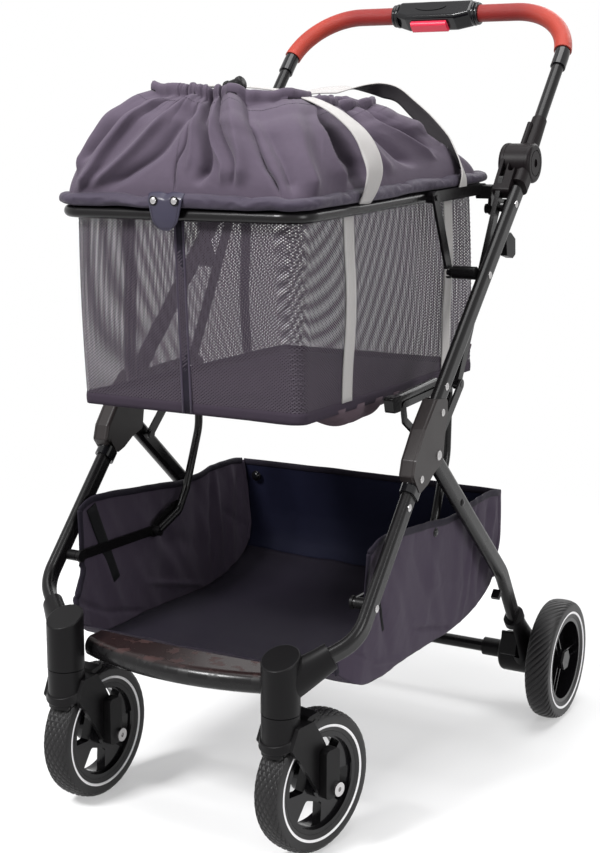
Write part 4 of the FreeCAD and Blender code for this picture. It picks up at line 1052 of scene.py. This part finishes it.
def tub_rise(z):
    """Share of the tub's height, from its floor to its brim."""
    return np.clip((z - TUB_FLOOR) / TUB_DEPTH, 0, 1)


def tub_nose(y):
    """How far the walls draw in at the tub's front, in millimetres."""
    return 34 * np.clip((20 - y) / 100, 0, 1) ** 1.1


def ridges(y, z, folds):
    """Sum of soft folds, each a line between two points of the side view with a width and a height."""
    out = np.zeros_like(y)
    for (y0, z0), (y1, z1), width, height in folds:
        dy, dz = y1 - y0, z1 - z0
        length = np.hypot(dy, dz)
        along = ((y - y0) * dy + (z - z0) * dz) / length
        off = ((y - y0) * dz - (z - z0) * dy) / length
        fade = np.clip(along / length * 3 + 0.5, 0, 1) * np.clip((1 - along / length) * 3 + 0.5, 0, 1)
        out += height * np.exp(-(off / width) ** 2) * fade
    return out


def tub_side(which, sign):
    """One side of the tub, hung between the frame's bars, creased and bellied; gives it and its grid."""
    rows, columns = 60, 170
    floor = [p for p in FLOOR_LINE if p[1] < 240]
    bottom, top = smooth_line(floor + [(449, 236)], columns), smooth_line(TOP_LINE, columns)
    front, rear = smooth_line(FRONT_LINE, rows), smooth_line(REAR_LINE, rows)
    s = np.linspace(0, 1, columns)[None, :, None]
    t = np.linspace(0, 1, rows)[:, None, None]
    flat = bottom * (1 - t) + top * t + front[:, None] * (1 - s) + rear[:, None] * s
    low, high = bottom[0] * (1 - s) + bottom[-1] * s, top[0] * (1 - s) + top[-1] * s
    flat = flat - (low * (1 - t) + high * t)
    y, z = flat[..., 0], flat[..., 1]
    rise = tub_rise(z)
    at_floor, lean = 209, 14.5            # half width at the floor, and what the brim has more
    wall = at_floor + lean * rise**0.7
    wall = wall + np.clip(1.7 * ridges(y, z, SIDE_FOLDS), -4, 4.5) * np.clip(1.25 - rise * 0.5, 0.5, 1)
    wall = wall + 0.7 * waves(y / 17 + z / 29, (0.2, 1.9, 3.3), 1.0)
    wall = np.clip(wall, 206, 229.3) - tub_nose(y) * (z < 300)
    grid = at(sign * wall, y, z)
    made = surface("tub_side_" + which, grid, tub_fabric, 0.0013, "chassis")
    for place, edge, upright, paint in (("top", grid[-1][::2], (0, 0.05, 1), dark_binding),
                                        ("front", grid[:, 0], (0, 1, 0.2), dark_binding),
                                        ("rear", grid[:, -1], (0, 1, 0.2), tub_fabric)):
        name = "tub_binding_%s_%s" % (place, which)
        sweep(name, edge, BINDING, paint, "chassis", up=upright)
    return made, grid


def tub_floor():
    """Floor and rear wall of the tub in one length of cloth, sagging between its seams."""
    rows, columns = 150, 90
    line = smooth_line(FLOOR_LINE, rows)
    s = np.linspace(-1, 1, columns)[None, :]
    y, z = line[:, :1], line[:, 1:]
    rear = np.clip((z - 225) / 60, 0, 1) * (y > 300)
    at_floor, lean = 209.5, 14
    half = at_floor + lean * tub_rise(z) ** 0.7 - tub_nose(y)
    sag = (1 - s**2) * (1 - rear)
    z = z - 5 * sag * np.clip((y + 42) / 100, 0, 1)
    y = y + 6 * (1 - s**2) * rear
    crease = waves(s * 5 + y / 90, (0.3, 2.2, 4.2), 1.2) * 1.1 * (1 - s**6)
    z = z + crease * (1 - rear)
    y = y + crease * rear * 1.2
    grid = at(half * s, y, z)
    split = int(np.argmax(line[:, 1] * (line[:, 0] > 300) > 226))
    surface("tub_floor", grid[: split + 1], dark_binding, 0.0013, "chassis", inner=tub_fabric)
    surface("tub_rear", grid[split:], navy, 0.0013, "chassis", inner=tub_fabric)
    sweep("tub_binding_rear", grid[-1], BINDING, dark_binding, "chassis")


def tub_wall(grid, y, z, inward):
    """A point beside the tub's wall, inward of it by a distance in metres."""
    place = at(0, y, z)
    points = grid.reshape(-1, 3)
    nearest = points[np.argmin(np.abs(points[:, 1:] - place[1:]).sum(1))]
    return np.array([nearest[0] - np.sign(nearest[0]) * inward, place[1], place[2]])


def tub_trim(side, sign, grid):
    """Diagonal strap inside the wall and its snap."""
    places = np.linspace((40, 378), (84, 262), 12)
    line = np.array([tub_wall(grid, y, z, 0.0022) for y, z in places])
    flat_tape("tub_strap_" + side, line, 0.020, black_webbing, (0, 0.93, 0.36), body="chassis")
    stud("tub_snap_" + side, tub_wall(grid, 216, 360, -0.0008), (sign, 0, 0), 0.0050, gloss_black, "chassis")


right_wall, right_grid = tub_side("right", 1)
_, left_grid = tub_side("left", -1)
tub_floor()
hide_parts("lower_basket")
tub_trim("right", 1, right_grid)
tub_trim("left", -1, left_grid)
for side, x in (("right", 199), ("left", -199)):
    stud("tub_rear_snap_" + side, at(x, 449, 345), (0, -1, 0), 0.0062, gloss_black, "chassis")


# ---- floor, light and air ----
def make_stage():
    """Floor that fades out round the stroller, so that the white air shows beyond it."""
    bpy.ops.mesh.primitive_circle_add(vertices=96, radius=1.9, fill_type="NGON", location=(0, 0, 0))
    floor = bpy.context.object
    floor.name = "ground"
    paint = Paint("ground", (0.97, 0.97, 0.975), 0.85)
    dull(paint, 0.1)
    x, y, _ = paint.place()
    reach = (x * x + y * y) ** 0.5
    clear = paint.node("ShaderNodeBsdfTransparent")
    solid = Sock(paint, paint.shader.outputs["BSDF"])
    share = reach.ramp(0.75, 1.75) * 0.6 + 0.4
    both = paint.node("ShaderNodeMixShader", None, {"Fac": share, 1: solid, 2: clear})
    paint.tree.links.new(both.socket, paint.tree.nodes["Material Output"].inputs["Surface"])
    floor.data.materials.append(paint.material)


def area_light(name, place, size, power):
    """A rectangular light that shines at the middle of the stroller."""
    light = bpy.data.lights.new(name, "AREA")
    light.shape = "RECTANGLE"
    light.size, light.size_y = size
    light.energy = power
    made = bpy.data.objects.new(name, light)
    scene.collection.objects.link(made)
    made.location = place
    made.rotation_euler = (Vector((0, 0, 0.5)) - Vector(place)).to_track_quat("-Z", "Y").to_euler()


def make_world():
    """White to the camera and in reflections, dimmer as light."""
    world = bpy.data.worlds.new("air")
    scene.world = world
    world.use_nodes = True
    tree = world.node_tree
    rays = tree.nodes.new("ShaderNodeLightPath")
    shade = tree.nodes["Background"]
    shade.inputs["Color"].default_value = (1, 1, 1, 1)
    seen = rays.outputs["Is Camera Ray"]
    for kind in ("Is Transmission Ray", "Is Glossy Ray"):
        either = tree.nodes.new("ShaderNodeMath")
        either.operation = "MAXIMUM"
        tree.links.new(seen, either.inputs[0])
        tree.links.new(rays.outputs[kind], either.inputs[1])
        seen = either.outputs[0]
    mix = tree.nodes.new("ShaderNodeMix")
    mix.inputs["A"].default_value = 0.24
    mix.inputs["B"].default_value = 1.0
    tree.links.new(seen, mix.inputs["Factor"])
    tree.links.new(mix.outputs[0], shade.inputs["Strength"])


make_stage()
make_world()
area_light("key", (-0.9, -2.6, 2.8), (0.8, 0.8), 150)
area_light("fill", (3.0, -1.0, 1.5), (1.0, 1.8), 48)
area_light("back", (0.4, 2.6, 2.2), (2.2, 1.4), 34)
area_light("top", (0.2, 0.0, 3.4), (2.0, 2.0), 72)
scene.view_settings.view_transform = "Standard"
